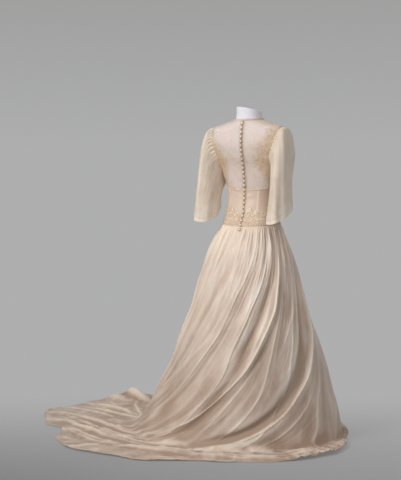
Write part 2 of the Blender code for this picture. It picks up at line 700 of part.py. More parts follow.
PIECES = bpy.data.collections.new("wedding_dress")
bpy.context.scene.collection.children.link(PIECES)
SILK = material("ivory_silk", (0.80, 0.70, 0.58), 0.45, 0.3)
SATIN = material("ivory_satin", (0.82, 0.70, 0.57), 0.35, 0.2)
SHEER = material("sheer_yoke", (0.78, 0.69, 0.61), 0.55, 0.2)
LACE_CLOTH = material("ivory_lace", (0.84, 0.74, 0.62), 0.60)
FORM = material("form_jersey", (0.80, 0.79, 0.82), 0.75)
METAL = material("stand_steel", (0.45, 0.45, 0.46), 0.35)

build_yokes()
build_midriff()
build_lace("waist_lace_left", 0.0, 90.0, 0.04, 0.29)
build_lace("waist_lace_right", 90.0, 180.0, 0.29, 0.04)
build_binding()
build_sleeves()
build_skirt()
build_buttons()
build_torso()
build_stand()
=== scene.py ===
"""Looks of a silk wedding gown with a buttoned back and a train swept to one side, worn by a
limbless dress form on a stand. Metres, +Z up, the wearer's front looks along -Y, their left
is +X."""
import math
import random

import bpy
import numpy as np
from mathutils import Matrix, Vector, noise


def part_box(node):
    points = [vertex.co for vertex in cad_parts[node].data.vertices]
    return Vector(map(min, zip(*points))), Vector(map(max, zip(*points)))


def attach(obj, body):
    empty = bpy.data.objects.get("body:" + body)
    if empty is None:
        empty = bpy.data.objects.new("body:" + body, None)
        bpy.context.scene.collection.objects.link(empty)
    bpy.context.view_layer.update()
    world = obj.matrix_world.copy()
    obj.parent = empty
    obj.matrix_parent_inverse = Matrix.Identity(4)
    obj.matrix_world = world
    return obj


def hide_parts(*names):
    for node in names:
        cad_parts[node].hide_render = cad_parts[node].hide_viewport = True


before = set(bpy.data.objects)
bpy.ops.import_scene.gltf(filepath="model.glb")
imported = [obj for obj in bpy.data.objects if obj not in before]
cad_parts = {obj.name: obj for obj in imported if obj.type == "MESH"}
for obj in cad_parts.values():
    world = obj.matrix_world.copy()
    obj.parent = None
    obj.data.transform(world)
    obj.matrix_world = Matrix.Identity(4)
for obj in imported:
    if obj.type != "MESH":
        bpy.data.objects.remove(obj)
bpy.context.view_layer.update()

# Cloth sizes
CLOTH = 0.0011          # wall of the cloth
SHEER_CLOTH = 0.0007    # wall of the net and organza
FORM_GAP = 0.0065       # from the outside of the bodice down to the form
SEAM_DROP = 0.0005      # skirt top edge below the midriff edge

# Body of the gown, a ring per level. Side, back and front points of each ring;
# square is the exponent of the ring's rounded outline.
# level, side_x, side_y, side_z, back_y, back_z, front_y, front_z, square
LEVELS = (
    ("hip_low", 0.150, 0.010, 0.800, 0.128, 0.800, -0.100, 0.800, 2.2),
    ("skirt_seam", 0.130, 0.012, 0.945, 0.120, 0.938, -0.092, 0.950, 2.2),
    ("low_waist", 0.118, 0.004, 1.000, 0.096, 0.990, -0.084, 1.005, 2.2),
    ("waist", 0.115, 0.000, 1.060, 0.083, 1.060, -0.082, 1.060, 2.2),
    ("yoke_seam", 0.121, 0.004, 1.108, 0.082, 1.092, -0.098, 1.110, 2.3),
    ("bust", 0.140, 0.016, 1.190, 0.094, 1.190, -0.126, 1.180, 2.5),
    ("underarm", 0.160, 0.026, 1.245, 0.110, 1.245, -0.116, 1.235, 2.7),
    ("armhole_mid", 0.177, 0.038, 1.308, 0.119, 1.300, -0.090, 1.275, 2.9),
    ("shoulder_tip", 0.168, 0.048, 1.366, 0.116, 1.345, -0.062, 1.305, 2.7),
    ("mid_shoulder", 0.116, 0.045, 1.387, 0.110, 1.374, -0.040, 1.330, 2.4),
    ("neckline", 0.068, 0.040, 1.402, 0.102, 1.398, -0.024, 1.356, 2.0),
)
SKIRT_SEAM = 1
YOKE_SEAM = 4
SHOULDER_TIP = 8
NECKLINE = 10
UNDERARM = 4.45         # level where the deep armhole begins
ARMHOLE_BACK = (33.0, 46.0)         # how far the left and right armholes reach to the back, degrees
ARMHOLE_FRONT = 36.0    # and both round to the front
BUST = (28.0, 0.016, 11.0, 0.9)     # each side of centre, rise, half-width degrees, levels


def soft_line(xs, ys, at):
    """Smooth curve through (xs, ys) that never overshoots, taken at the values at."""
    xs = np.asarray(xs, float)
    ys = np.asarray(ys, float)
    at = np.asarray(at, float)
    step = np.diff(xs)
    slope = np.diff(ys) / step
    lean = np.zeros_like(ys)
    product = slope[:-1] * slope[1:]
    total = slope[:-1] + slope[1:]
    rising = product > 0
    lean[1:-1][rising] = 2 * product[rising] / total[rising]
    lean[0] = slope[0]
    lean[-1] = slope[-1]
    i = np.clip(np.searchsorted(xs, at) - 1, 0, len(xs) - 2)
    t = np.clip((at - xs[i]) / step[i], 0, 1)
    start = ys[i] * (1 + 2 * t) * (1 - t) ** 2 + lean[i] * step[i] * t * (1 - t) ** 2
    end = ys[i + 1] * t * t * (3 - 2 * t) - lean[i + 1] * step[i] * t * t * (1 - t)
    return start + end


def ring_line(table, at):
    """Smooth closed curve through a table of (angle, value), taken at angles in degrees."""
    angles = np.array([row[0] for row in table], float)
    values = np.array([row[1] for row in table], float)
    angles = np.concatenate([angles - 360, angles, angles + 360])
    values = np.concatenate([values, values, values])
    wrapped = (np.asarray(at, float) + 180) % 360 - 180
    return soft_line(angles, values, wrapped)


def unit(vectors):
    length = np.linalg.norm(vectors, axis=-1, keepdims=True)
    return vectors / np.maximum(length, 1e-12)


def fade(at, start, end):
    """0 before start, 1 after end, smooth between."""
    t = np.clip((at - start) / (end - start), 0, 1)
    return t * t * (3 - 2 * t)


def around(angle, middle):
    """Signed degrees from middle to angle, the short way."""
    return (angle - middle + 180) % 360 - 180


# The worn body surface

def level_value(column, level):
    rows = np.arange(len(LEVELS))
    return soft_line(rows, [row[column] for row in LEVELS], level)


def body_base(phi, level):
    """Point of the bodice at plan angle phi (degrees) and level."""
    phi = np.radians(np.asarray(phi, float))
    power = 2.0 / level_value(8, level)
    cosine = np.cos(phi)
    sine = np.sin(phi)
    across = np.abs(sine) ** power
    back = sine >= 0
    far_y = np.where(back, level_value(4, level), level_value(6, level))
    far_z = np.where(back, level_value(5, level), level_value(7, level))
    x = level_value(1, level) * np.sign(cosine) * np.abs(cosine) ** power
    side_y = level_value(2, level)
    side_z = level_value(3, level)
    y = side_y + (far_y - side_y) * across
    z = side_z + (far_z - side_z) * sine ** 2
    offset, rise, wide, tall = BUST
    turn = np.degrees(phi) % 360
    lobe = sum(np.exp(-((turn - 270 - side * offset) / wide) ** 2) for side in (-1, 1))
    y = y - rise * lobe * np.exp(-((level - 5.0) / tall) ** 2)
    return np.stack(np.broadcast_arrays(x, y, z), -1)


def body_normal(phi, level):
    phi = np.asarray(phi, float)
    level = np.asarray(level, float)
    up = np.minimum(level + 0.02, NECKLINE)
    down = np.maximum(level - 0.02, 0)
    along = body_base(phi + 0.5, level) - body_base(phi - 0.5, level)
    rise = body_base(phi, up) - body_base(phi, down)
    return unit(np.cross(along, rise))


def body_point(phi, level, out=0.0):
    return body_base(phi, level) + np.asarray(out)[..., None] * body_normal(phi, level)


def armhole_share(level):
    """How far open the armhole is at a level, 0 closed to 1 widest."""
    middle = (UNDERARM + SHOULDER_TIP) / 2
    half = (SHOULDER_TIP - UNDERARM) / 2
    return np.sqrt(np.clip(1 - ((level - middle) / half) ** 2, 0, 1))


# Skirt form, the same as the solids'

GATHERS = 28
# Growth of the skirt's radius below the seam: share of the fall, then toward the wearer's
# left, back right (toward the viewer), right and front
PROFILE = (
    (0.00, 0.000, 0.000, 0.000, 0.000),
    (0.06, 0.032, 0.026, 0.022, 0.030),
    (0.19, 0.086, 0.066, 0.074, 0.085),
    (0.35, 0.130, 0.112, 0.120, 0.130),
    (0.50, 0.178, 0.148, 0.168, 0.170),
    (0.62, 0.222, 0.172, 0.210, 0.200),
    (0.75, 0.276, 0.200, 0.248, 0.240),
    (0.87, 0.342, 0.228, 0.284, 0.266),
    (1.00, 0.400, 0.262, 0.306, 0.286),
)
PROFILE_TURN = 30.0     # plan angle of the first column, the others 90 degrees apart
SWEEP = (0.95, 1.45)    # share of the turn toward the train: amount at the floor, power
SOFT_FLOOR = 0.045      # how gently the fall turns into the floor
HEM_WAVE = 0.010        # how far the hem line waves in and out
# Hem on the floor: plan angle, radius
HEM = (
    (-162, 0.430), (-132, 0.418), (-100, 0.418), (-70, 0.445), (-45, 0.510), (-28, 0.600),
    (-17, 0.720), (-9, 0.840), (-3, 0.920), (4, 0.960), (11, 1.035), (21, 0.980),
    (27, 0.935), (31, 0.868), (39, 0.880), (48, 0.868), (61, 0.755), (71, 0.685),
    (83, 0.592), (96, 0.525), (111, 0.490), (131, 0.488), (147, 0.500), (170, 0.485),
)
# Where the cloth at each waist angle ends at the hem: waist angle, hem angle
SWIRL = (
    (-90, -95), (-45, -50), (-20, -28), (0, -16), (20, -8), (45, 1), (70, 9), (90, 16),
    (110, 26), (130, 39), (150, 56), (170, 78), (190, 106), (210, 138), (230, 172), (250, 212),
)
# Folds. Waist angle of the crest where the row is 0.1, 0.45, 0.8, 0.95, 1.1 and 1.6,
# row where it starts, rise on the fall, rise on the floor, half-width in degrees, lean.
# A falling rise is a hollow; a positive lean has its sharper side toward greater angles.
FOLD_ROWS = (0.1, 0.45, 0.8, 0.95, 1.1, 1.6)
FOLDS = (
    ("left_far", 10, 14, 16, 16, 16, 16, 0.06, 0.016, 0.014, 7, 0.2),
    ("left_edge", 28, 43, 46, 46, 44, 42, 0.06, 0.018, 0.012, 7, 0.3),
    ("left_back", 67, 55, 52, 50, 48, 46, 0.04, 0.020, 0.016, 7, 0.4),
    ("left_hollow", 94, 79, 72, 70, 68, 66, 0.10, -0.014, -0.006, 6, -0.2),
    ("centre", 102, 94, 90, 88, 88, 86, 0.08, 0.016, 0.018, 6, 0.3),
    ("sweep_one", 121, 111, 114, 120, 112, 105, 0.06, 0.030, 0.026, 7, 0.45),
    ("branch", 112, 107, 81, 78, 76, 74, 0.36, 0.012, 0.010, 5, 0.4),
    ("flank", 143, 136, 149, 151, 146, 136, 0.04, 0.026, 0.014, 7, 0.1),
    ("middle_hollow", 160, 149, 156, 158, 150, 140, 0.06, -0.020, -0.004, 5, 0.0),
    ("sweep_two", 163, 161, 156, 149, 136, 120, 0.08, 0.030, 0.026, 6, 0.5),
    ("beside", 166, 170, 181, 177, 166, 150, 0.15, 0.014, 0.006, 5, 0.2),
    ("upright", 182, 186, 195, 192, 182, 170, 0.20, 0.016, 0.004, 5, 0.3),
    ("right_hollow", 196, 200, 195, 178, 153, 136, 0.10, -0.034, -0.012, 5, -0.3),
    ("sweep_three", 210, 213, 203, 187, 163, 143, 0.12, 0.028, 0.030, 6, -0.5),
    ("low_sweep", 218, 218, 213, 203, 186, 172, 0.62, 0.016, 0.012, 5, -0.3),
    ("right_back", 222, 221, 219, 222, 222, 222, 0.45, 0.016, 0.016, 5, 0.2),
    ("right_edge", 238, 238, 236, 235, 235, 235, 0.10, 0.020, 0.018, 6, 0.3),
    ("right_front", 254, 252, 252, 252, 252, 252, 0.06, 0.018, 0.016, 7, 0.2),
    ("front_right", 271, 270, 270, 270, 270, 270, 0.10, 0.016, 0.014, 7, -0.2),
    ("front", 287, 286, 286, 286, 286, 286, 0.05, 0.020, 0.018, 7, 0.3),
    ("front_left", 304, 303, 303, 303, 303, 303, 0.12, 0.016, 0.014, 7, -0.3),
    ("left_front", 319, 321, 321, 321, 321, 321, 0.06, 0.020, 0.014, 7, 0.2),
    ("left_low", 338, 337, 337, 337, 337, 337, 0.08, 0.018, 0.020, 7, -0.2),
    ("far_train", 353, 355, 355, 355, 355, 355, 0.06, 0.018, 0.026, 7, 0.3),
)
TROUGH = 0.006          # mean depth taken from between the folds
SWELL = 0.28            # share of a fold's rise that is a soft swell
CREST = (0.26, 0.62)    # share of it that is a crisp crest, and the crest's half-width in degrees
# Cloth standing up at the far edge of the train: waist angle, half-width, rise, ripples
TRAIN_CREST = (8.0, 13.0, 0.046, 24.0)
# Finer creases beside the folds: the fold each one follows, degrees from its crest at the
# upper and the lower end, first and last row, rise, half-width in degrees
CREASES = (
    ("left_far", -7, -5, 0.02, 0.60, 0.0035, 1.5), ("left_far", 6, 9, 0.30, 1.20, 0.0030, 1.6),
    ("left_far", 12, 12, 0.00, 0.22, 0.0040, 1.7), ("left_edge", -8, -9, 0.00, 0.45, 0.0040, 1.6),
    ("left_edge", 5, 6, 0.05, 0.75, 0.0034, 1.3), ("left_edge", 12, 9, 0.00, 0.30, 0.0045, 1.6),
    ("left_edge", -4, -6, 0.55, 1.60, 0.0040, 1.5), ("left_edge", 21, 6, 0.00, 0.50, 0.0036, 1.4),
    ("left_back", -7, -4, 0.00, 0.42, 0.0045, 1.5), ("left_back", 7, 8, 0.00, 0.55, 0.0040, 1.3),
    ("left_back", 13, 14, 0.02, 0.35, 0.0050, 1.5), ("left_back", 5, 4, 0.60, 1.50, 0.0035, 1.2),
    ("left_back", -12, -11, 0.15, 0.80, 0.0028, 1.5), ("left_back", 18, 22, 0.00, 0.25, 0.0045, 1.3),
    ("centre", -5, -3, 0.00, 0.30, 0.0050, 1.3), ("centre", 5, 6, 0.00, 0.38, 0.0045, 1.2),
    ("centre", -9, -8, 0.30, 0.90, 0.0030, 1.4), ("centre", 4, 5, 0.55, 1.30, 0.0035, 1.2),
    ("centre", 10, 9, 0.08, 0.46, 0.0036, 1.1), ("sweep_one", -5, -7, 0.02, 0.55, 0.0045, 1.3),
    ("sweep_one", 5, 4, 0.00, 0.28, 0.0050, 1.2), ("sweep_one", 9, 8, 0.04, 0.72, 0.0040, 1.3),
    ("sweep_one", -10, -12, 0.50, 1.10, 0.0030, 1.3), ("sweep_one", 7, 10, 0.75, 1.50, 0.0040, 1.2),
    ("sweep_one", 14, 14, 0.00, 0.40, 0.0045, 1.2), ("branch", -5, -6, 0.60, 1.40, 0.0035, 1.2),
    ("branch", 6, 8, 0.70, 1.30, 0.0030, 1.2), ("flank", -6, -7, 0.00, 0.36, 0.0050, 1.2),
    ("flank", 4, 6, 0.00, 0.24, 0.0055, 1.1), ("flank", 8, 7, 0.05, 0.55, 0.0040, 1.2),
    ("flank", -3, -5, 0.50, 1.10, 0.0030, 1.4), ("flank", 2, 4, 0.90, 1.70, 0.0040, 1.1),
    ("sweep_two", -8, -9, 0.02, 0.48, 0.0045, 1.2), ("sweep_two", -4, -4, 0.30, 1.00, 0.0035, 1.1),
    ("sweep_two", 4, 5, 0.00, 0.30, 0.0055, 1.1), ("sweep_two", 7, 9, 0.45, 1.15, 0.0040, 1.2),
    ("sweep_two", 12, 15, 0.70, 1.35, 0.0035, 1.1), ("sweep_two", 5, 7, 1.05, 1.80, 0.0045, 1.2),
    ("beside", -4, -4, 0.05, 0.60, 0.0040, 1.0), ("beside", 4, 5, 0.20, 0.95, 0.0035, 1.0),
    ("beside", 8, 8, 0.05, 0.50, 0.0040, 1.1), ("beside", 3, 2, 0.90, 1.30, 0.0030, 0.9),
    ("upright", -4, -6, 0.02, 0.45, 0.0045, 1.0), ("upright", 3, 3, 0.00, 0.35, 0.0050, 1.0),
    ("upright", 5, 6, 0.40, 1.00, 0.0040, 1.0), ("upright", -3, -3, 0.60, 1.10, 0.0030, 0.9),
    ("upright", 9, 9, 0.00, 0.60, 0.0040, 1.0), ("sweep_three", -5, -4, 0.02, 0.50, 0.0045, 1.0),
    ("sweep_three", 4, 5, 0.00, 0.40, 0.0050, 1.1), ("sweep_three", 7, 8, 0.35, 0.95, 0.0040, 1.1),
    ("sweep_three", 5, 7, 0.95, 1.60, 0.0045, 1.1), ("sweep_three", 11, 14, 1.00, 1.70, 0.0040, 1.1),
    ("sweep_three", -4, -3, 1.00, 1.60, 0.0040, 1.0), ("low_sweep", 4, 6, 0.80, 1.60, 0.0045, 1.0),
    ("low_sweep", 9, 10, 0.70, 1.30, 0.0040, 1.0), ("right_back", -3, -4, 0.10, 0.70, 0.0040, 1.0),
    ("right_back", 4, 5, 0.00, 0.55, 0.0050, 1.1), ("right_back", 7, 8, 0.60, 1.30, 0.0045, 1.0),
    ("right_back", 11, 10, 0.80, 1.50, 0.0045, 0.9), ("right_edge", -5, -5, 0.00, 0.35, 0.0050, 1.2),
    ("right_edge", 5, 5, 0.10, 0.90, 0.0040, 1.2), ("right_edge", -4, -4, 0.70, 1.50, 0.0045, 1.0),
    ("right_edge", 8, 7, 0.60, 1.20, 0.0035, 1.2), ("right_front", -6, -5, 0.00, 0.40, 0.0045, 1.4),
    ("right_front", 6, 7, 0.05, 0.70, 0.0040, 1.3), ("right_front", -3, -4, 0.75, 1.50, 0.0040, 1.1),
    ("front_right", -6, -5, 0.10, 0.85, 0.0035, 1.5), ("front_right", 4, 6, 0.00, 0.30, 0.0050, 1.2),
    ("front_right", 7, 6, 0.60, 1.40, 0.0040, 1.2), ("front", -6, -6, 0.00, 0.50, 0.0045, 1.4),
    ("front", 5, 6, 0.15, 0.95, 0.0040, 1.3), ("front", -4, -3, 0.80, 1.60, 0.0040, 1.2),
    ("front_left", -7, -7, 0.00, 0.33, 0.0045, 1.3), ("front_left", 5, 6, 0.00, 0.62, 0.0040, 1.4),
    ("front_left", -4, -5, 0.65, 1.40, 0.0040, 1.2), ("left_front", -6, -7, 0.02, 0.52, 0.0045, 1.4),
    ("left_front", 6, 5, 0.20, 0.95, 0.0035, 1.5), ("left_front", 4, 5, 0.85, 1.60, 0.0045, 1.2),
    ("left_low", -7, -6, 0.00, 0.38, 0.0045, 1.3), ("left_low", 5, 6, 0.10, 0.80, 0.0040, 1.4),
    ("left_low", -4, -6, 0.80, 1.70, 0.0050, 1.3), ("far_train", -6, -7, 0.00, 0.48, 0.0045, 1.4),
    ("far_train", 6, 5, 0.08, 0.70, 0.0040, 1.4), ("far_train", -3, -4, 0.90, 1.80, 0.0060, 1.2),
)
# Lines of the cloth on the floor in metres, along the skirt's foot and along the hem, from the
# wearer's right round the back into the train
FOOT_LINE = (
    (-0.36, 0.04), (-0.30, 0.22), (-0.17, 0.33), (0.00, 0.375), (0.16, 0.36), (0.33, 0.31),
    (0.52, 0.24), (0.72, 0.18), (0.93, 0.14),
)
HEM_LINE = (
    (-0.47, 0.06), (-0.42, 0.25), (-0.30, 0.38), (-0.06, 0.49), (0.13, 0.53), (0.33, 0.57),
    (0.53, 0.555), (0.69, 0.49), (0.80, 0.40),
)
# Folds that lie between those lines: share of the way to the hem at the right end, in the
# middle and at the train's end, where along the line each starts and ends, rise, half-width
FLOOR_FOLDS = (
    (0.10, 0.08, 0.05, 0.18, 0.80, 0.013, 0.011), (0.30, 0.22, 0.12, 0.05, 0.62, 0.015, 0.010),
    (0.22, 0.30, 0.24, 0.38, 0.95, 0.012, 0.009), (0.52, 0.40, 0.30, 0.02, 0.72, 0.016, 0.012),
    (0.40, 0.48, 0.42, 0.45, 1.00, 0.011, 0.008), (0.62, 0.57, 0.52, 0.20, 0.88, 0.014, 0.010),
    (0.70, 0.66, 0.60, 0.50, 1.00, 0.010, 0.008), (0.80, 0.74, 0.66, 0.04, 0.66, 0.014, 0.010),
    (0.80, 0.83, 0.76, 0.34, 0.92, 0.011, 0.008), (0.92, 0.91, 0.84, 0.10, 0.97, 0.010, 0.009),
    (0.05, 0.14, 0.30, 0.55, 1.00, 0.010, 0.009), (0.45, 0.52, 0.70, 0.62, 1.00, 0.009, 0.007),
)
# Folds of the train's far side: rise, half-width, then points of the line in metres
TRAIN_FOLDS = (
    (0.009, 0.010, (0.40, 0.20), (0.58, 0.12), (0.76, 0.08), (0.93, 0.07)),
    (0.008, 0.009, (0.44, 0.15), (0.60, 0.07), (0.76, 0.02), (0.90, 0.01)),
    (0.010, 0.008, (0.42, 0.13), (0.47, 0.05), (0.50, -0.05), (0.50, -0.16)),
    (0.009, 0.007, (0.44, 0.14), (0.52, 0.05), (0.58, -0.06), (0.60, -0.17)),
    (0.008, 0.007, (0.47, 0.14), (0.58, 0.05), (0.67, -0.05), (0.71, -0.13)),
    (0.006, 0.007, (0.52, 0.14), (0.66, 0.05), (0.78, -0.02), (0.84, -0.07)),
    (0.006, 0.006, (0.62, 0.17), (0.74, 0.13), (0.86, 0.12), (0.98, 0.12)),
)
# Painted shade in the hollow above the third sweep and painted light on the paler cloth below it:
# degrees from the crest, half-width in degrees, change of tone, row where it starts
SWEEP_PAINTED_SHADE_AND_LIGHT = ((-5.0, 3.0, -0.80, 0.52), (6.0, 6.0, 0.16, 0.66), (24.0, 15.0, 0.16, 0.62))
# Crumpled cloth on the floor: how fine, rise, seed
FLOOR_CRUMPLE = ((8.0, 0.0034, 21), (24.0, 0.0026, 22))
# Heaps of the hem: place, reach, rise
HEM_CRUMPLES = ((-0.44, 0.20, 0.070, 0.026), (-0.46, 0.06, 0.060, 0.020), (-0.40, 0.30, 0.050, 0.018),
                (-0.34, -0.24, 0.080, 0.014), (0.46, 0.02, 0.060, 0.024))
# Small creases: how fine they are round the waist and down the fall, rise, seed
DRAPE_CREASES = ((5.0, 2.8, 0.0026, 11), (12.0, 6.0, 0.0010, 12), (28.0, 12.0, 0.0004, 13))
# Gores: name, first and last column of 112
SKIRT_COLUMNS = 112
GORES = (
    ("skirt_side_left", 0, 18), ("skirt_back_left", 18, 37), ("skirt_back_right", 37, 56),
    ("skirt_side_right", 56, 75), ("skirt_front_right", 75, 93), ("skirt_front_left", 93, 112),
)
CENTRE_BACK_COLUMN = 37
SKIRT_SPLIT = 7         # visible columns to each column of the solids
SKIRT_ROWS = (110, 54)  # visible rows down the fall and over the floor


def skirt_turn(waist_angle):
    """Hem angle of the cloth that starts at a waist angle, both in degrees."""
    table = [((a + 180) % 360 - 180, b - a) for a, b in SWIRL]
    return waist_angle + ring_line(sorted(table), waist_angle)


def profile_growth(angle, share):
    """Growth of the radius at plan angle and share of the fall."""
    shares = [row[0] for row in PROFILE]
    four = [soft_line(shares, [row[k] for row in PROFILE], np.minimum(share, 1.0))
            for k in range(1, 5)]
    turn = np.radians(angle - PROFILE_TURN)
    mean = sum(four) / 4
    first = (four[0] - four[2]) / 2
    second = (four[1] - four[3]) / 2
    double = (four[0] + four[2] - four[1] - four[3]) / 4
    return mean + first * np.cos(turn) + second * np.sin(turn) + double * np.cos(2 * turn)


def hem_wave(waist_angle):
    """Uneven in and out of the hem line, -1 to 1."""
    turn = np.radians(waist_angle)
    return 0.5 * np.cos(19 * turn + 0.6) + 0.3 * np.cos(13 * turn) + 0.2 * np.sin(31 * turn)


def skirt_base(waist_angle, row):
    """Skirt without its folds. row runs 0 to 1 down the fall, then 1 to 2 over the floor."""
    top = body_base(waist_angle, float(SKIRT_SEAM))
    start = np.degrees(np.arctan2(top[..., 1], top[..., 0]))
    start = start + 360 * np.round((waist_angle - start) / 360)
    ring = np.hypot(top[..., 0], top[..., 1])
    share = np.minimum(row, 1.0)
    amount, power = SWEEP
    end = skirt_turn(waist_angle)
    floor = np.maximum(row - 1.0, 0.0)
    swept = amount * share ** power + (1 - amount) * floor
    angle = start + (end - start) * swept
    radius = ring + profile_growth(angle, share)
    hem = np.maximum(ring_line(HEM, end), radius + 0.012) + HEM_WAVE * hem_wave(waist_angle)
    radius = radius + (hem - radius) * floor
    falling = (top[..., 2] - SEAM_DROP) * (1 - row)
    height = SOFT_FLOOR * np.logaddexp(0, falling / SOFT_FLOOR)
    height = np.where(row > 1, height * (1 - floor) ** 2, height)
    turn = np.radians(angle)
    flat = np.stack([radius * np.cos(turn), radius * np.sin(turn)], -1)
    blend = fade(share, 0.0, 0.05)[..., None]
    straight = top[..., :2] + unit(top[..., :2]) * (radius - ring)[..., None]
    flat = flat * blend + straight * (1 - blend)
    return np.concatenate([flat, height[..., None]], -1)


def fold_crest(name, row):
    fold = next(item for item in FOLDS if item[0] == name)
    return soft_line(FOLD_ROWS, fold[1:7], row)


def main_folds(waist_angle, row):
    """Rise of the large folds over the plain skirt, each steeper on one side."""
    floor = fade(row, 0.84, 1.10)
    turn = np.radians(waist_angle)
    place = np.stack([np.cos(turn), np.sin(turn), 2.2 * row], -1)
    drift = 3.2 * fade(row, 0.1, 0.4) * rough_noise(place, 2.6, 41)
    rise = -TROUGH * fade(row, 0.06, 0.40) * (1 - floor)
    for fold in FOLDS:
        start, high, floor_high, wide, lean = fold[7:]
        away = around(waist_angle + drift, soft_line(FOLD_ROWS, fold[1:7], row))
        tall = (high * (1 - floor) + 0.6 * floor_high * floor) * fade(row, start, start + 0.32)
        half = wide * (1 + 0.3 * floor) * np.where(away > 0, 1 - lean, 1 + lean)
        share, narrow = CREST
        crest = share * np.exp(-np.abs(away / narrow) ** 1.3) if high > 0 else 0.3 * np.exp(-(away / half) ** 2)
        rise = rise + tall * (SWELL * np.exp(-(away / half) ** 2) + crest)
    return rise


def fine_creases(waist_angle, row):
    rise = np.zeros_like(waist_angle)
    for host, upper, lower, first, last, high, wide in CREASES:
        share = np.clip((row - first) / (last - first), 0, 1)
        middle = fold_crest(host, row) + upper + (lower - upper) * share
        length = last - first
        shown = fade(row, first, first + 0.3 * length) * (1 - fade(row, last - 0.4 * length, last))
        if first == 0.0:
            shown = fade(row, 0.0, 0.02) * (1 - fade(row, last - 0.6 * length, last))
        away = around(waist_angle, middle)
        rise = rise + high * shown * np.exp(-np.abs(away / (0.7 * wide)) ** 1.4)
    return rise * (0.50 - 0.20 * fade(row, 0.3, 0.6))


def gathers(waist_angle, row):
    """Gathers sewn into the skirt seam, uneven, none at the centre back opening."""
    placket = around(waist_angle, 90.0)
    turn = np.radians(waist_angle)
    place = np.stack([3.0 * np.cos(turn), 3.0 * np.sin(turn), 3.5 * row], -1)
    drift = rough_noise(place, 1.0, 31)
    uneven = 0.75 + 0.9 * rough_noise(place, 2.3, 32)
    wave = -np.cos(np.radians(placket) * GATHERS + 3.0 * drift) * (1 - np.exp(-(placket / 7.0) ** 2))
    puff = fade(row, 0.0, 0.04) * (1 - fade(row, 0.07, 0.34))
    close = np.cos(83 * turn + 7.0 * drift) * (1 - np.exp(-(placket / 4.0) ** 2))
    short = fade(row, 0.0, 0.010) * (1 - fade(row, 0.02, 0.12))
    return uneven * (0.0028 * puff * wave + 0.0014 * short * close)


def train_crest(waist_angle, row):
    """Cloth standing up along the far edge of the train."""
    middle, wide, lift, ripples = TRAIN_CREST
    away = around(waist_angle, middle)
    crest = lift * np.exp(-(away / wide) ** 2) * fade(row, 1.45, 2.0)
    return crest * (1 + 0.3 * np.cos(np.radians(away) * ripples))


def line_distance(x, y, path):
    """Distance of each point from a line of points, and how far along it the nearest one is."""
    best = np.full(x.shape, 1e9)
    along = np.zeros_like(x)
    for k in range(len(path) - 1):
        start = path[k]
        step = path[k + 1] - start
        share = ((x - start[0]) * step[0] + (y - start[1]) * step[1]) / (step @ step)
        share = np.clip(share, 0, 1)
        off = np.hypot(x - start[0] - share * step[0], y - start[1] - share * step[1])
        along = np.where(off < best, (k + share) / (len(path) - 1), along)
        best = np.minimum(best, off)
    return best, along


def floor_folds(points, row):
    """Long folds that lie on the floor and run into the train, and the crumpled hem."""
    x = points[..., 0]
    y = points[..., 1]
    rise = np.zeros_like(x)
    along = np.linspace(0, 1, len(FOOT_LINE))
    folds = [(high, wide, np.array(path)) for high, wide, *path in TRAIN_FOLDS]
    for right, middle, left, first, last, high, wide in FLOOR_FOLDS:
        at = np.linspace(first, last, 9)
        foot = np.stack([np.interp(at, along, axis) for axis in zip(*FOOT_LINE)], -1)
        hem = np.stack([np.interp(at, along, axis) for axis in zip(*HEM_LINE)], -1)
        share = soft_line((0.0, 0.5, 1.0), (right, middle, left), at)[:, None]
        folds.append((high, wide, foot * (1 - share) + hem * share))
    for high, wide, path in folds:
        nearest, at = line_distance(x, y, path)
        ends = fade(at, 0.0, 0.2) * (1 - fade(at, 0.7, 1.0))
        rise = rise + high * ends * np.exp(-(nearest / wide) ** 1.5)
    rise = rise * fade(row, 0.92, 1.06)
    low = fade(row, 1.05, 1.3)
    for scale, high, seed in FLOOR_CRUMPLE:
        rise = rise + low * high * (1 - np.abs(rough_noise(points, scale, seed))) ** 4
    for x0, y0, reach, high in HEM_CRUMPLES:
        near = np.exp(-((x - x0) ** 2 + (y - y0) ** 2) / reach ** 2)
        bumps = 1 - np.abs(rough_noise(points, 30.0, 23))
        rise = rise + near * high * (0.35 + 0.65 * bumps ** 3) * fade(row, 0.98, 1.15)
    return rise


def rough_noise(points, scale, seed):
    """Smooth noise from -1 to 1 at every point, scale in waves a metre."""
    flat = points.reshape(-1, 3) * scale
    shift = Vector((seed * 7.1, seed * 3.3, seed * 5.7))
    values = [noise.noise(Vector(p) + shift) for p in flat]
    return np.array(values).reshape(points.shape[:-1])


def drape_creases(waist_angle, row):
    """Small crisp creases of stiff silk, long down the fall, of uneven length and depth."""
    turn = np.radians(waist_angle)
    total = np.zeros_like(waist_angle)
    for across, along, high, seed in DRAPE_CREASES:
        place = np.stack([across * np.cos(turn), across * np.sin(turn), along * row], -1)
        total = total + high * (1 - np.abs(rough_noise(place, 1.0, seed))) ** 5
        total = total - high * 0.30
    return total * fade(row, 0.02, 0.12) * (1 - 0.5 * fade(row, 1.0, 1.2))


def grid_normals(grid, wrap=False):
    """Normals of a grid by its neighbours, along columns crossed with down the rows."""
    if wrap:
        across = np.roll(grid, -1, axis=1) - np.roll(grid, 1, axis=1)
    else:
        across = np.gradient(grid, axis=1)
    return unit(np.cross(across, np.gradient(grid, axis=0)))


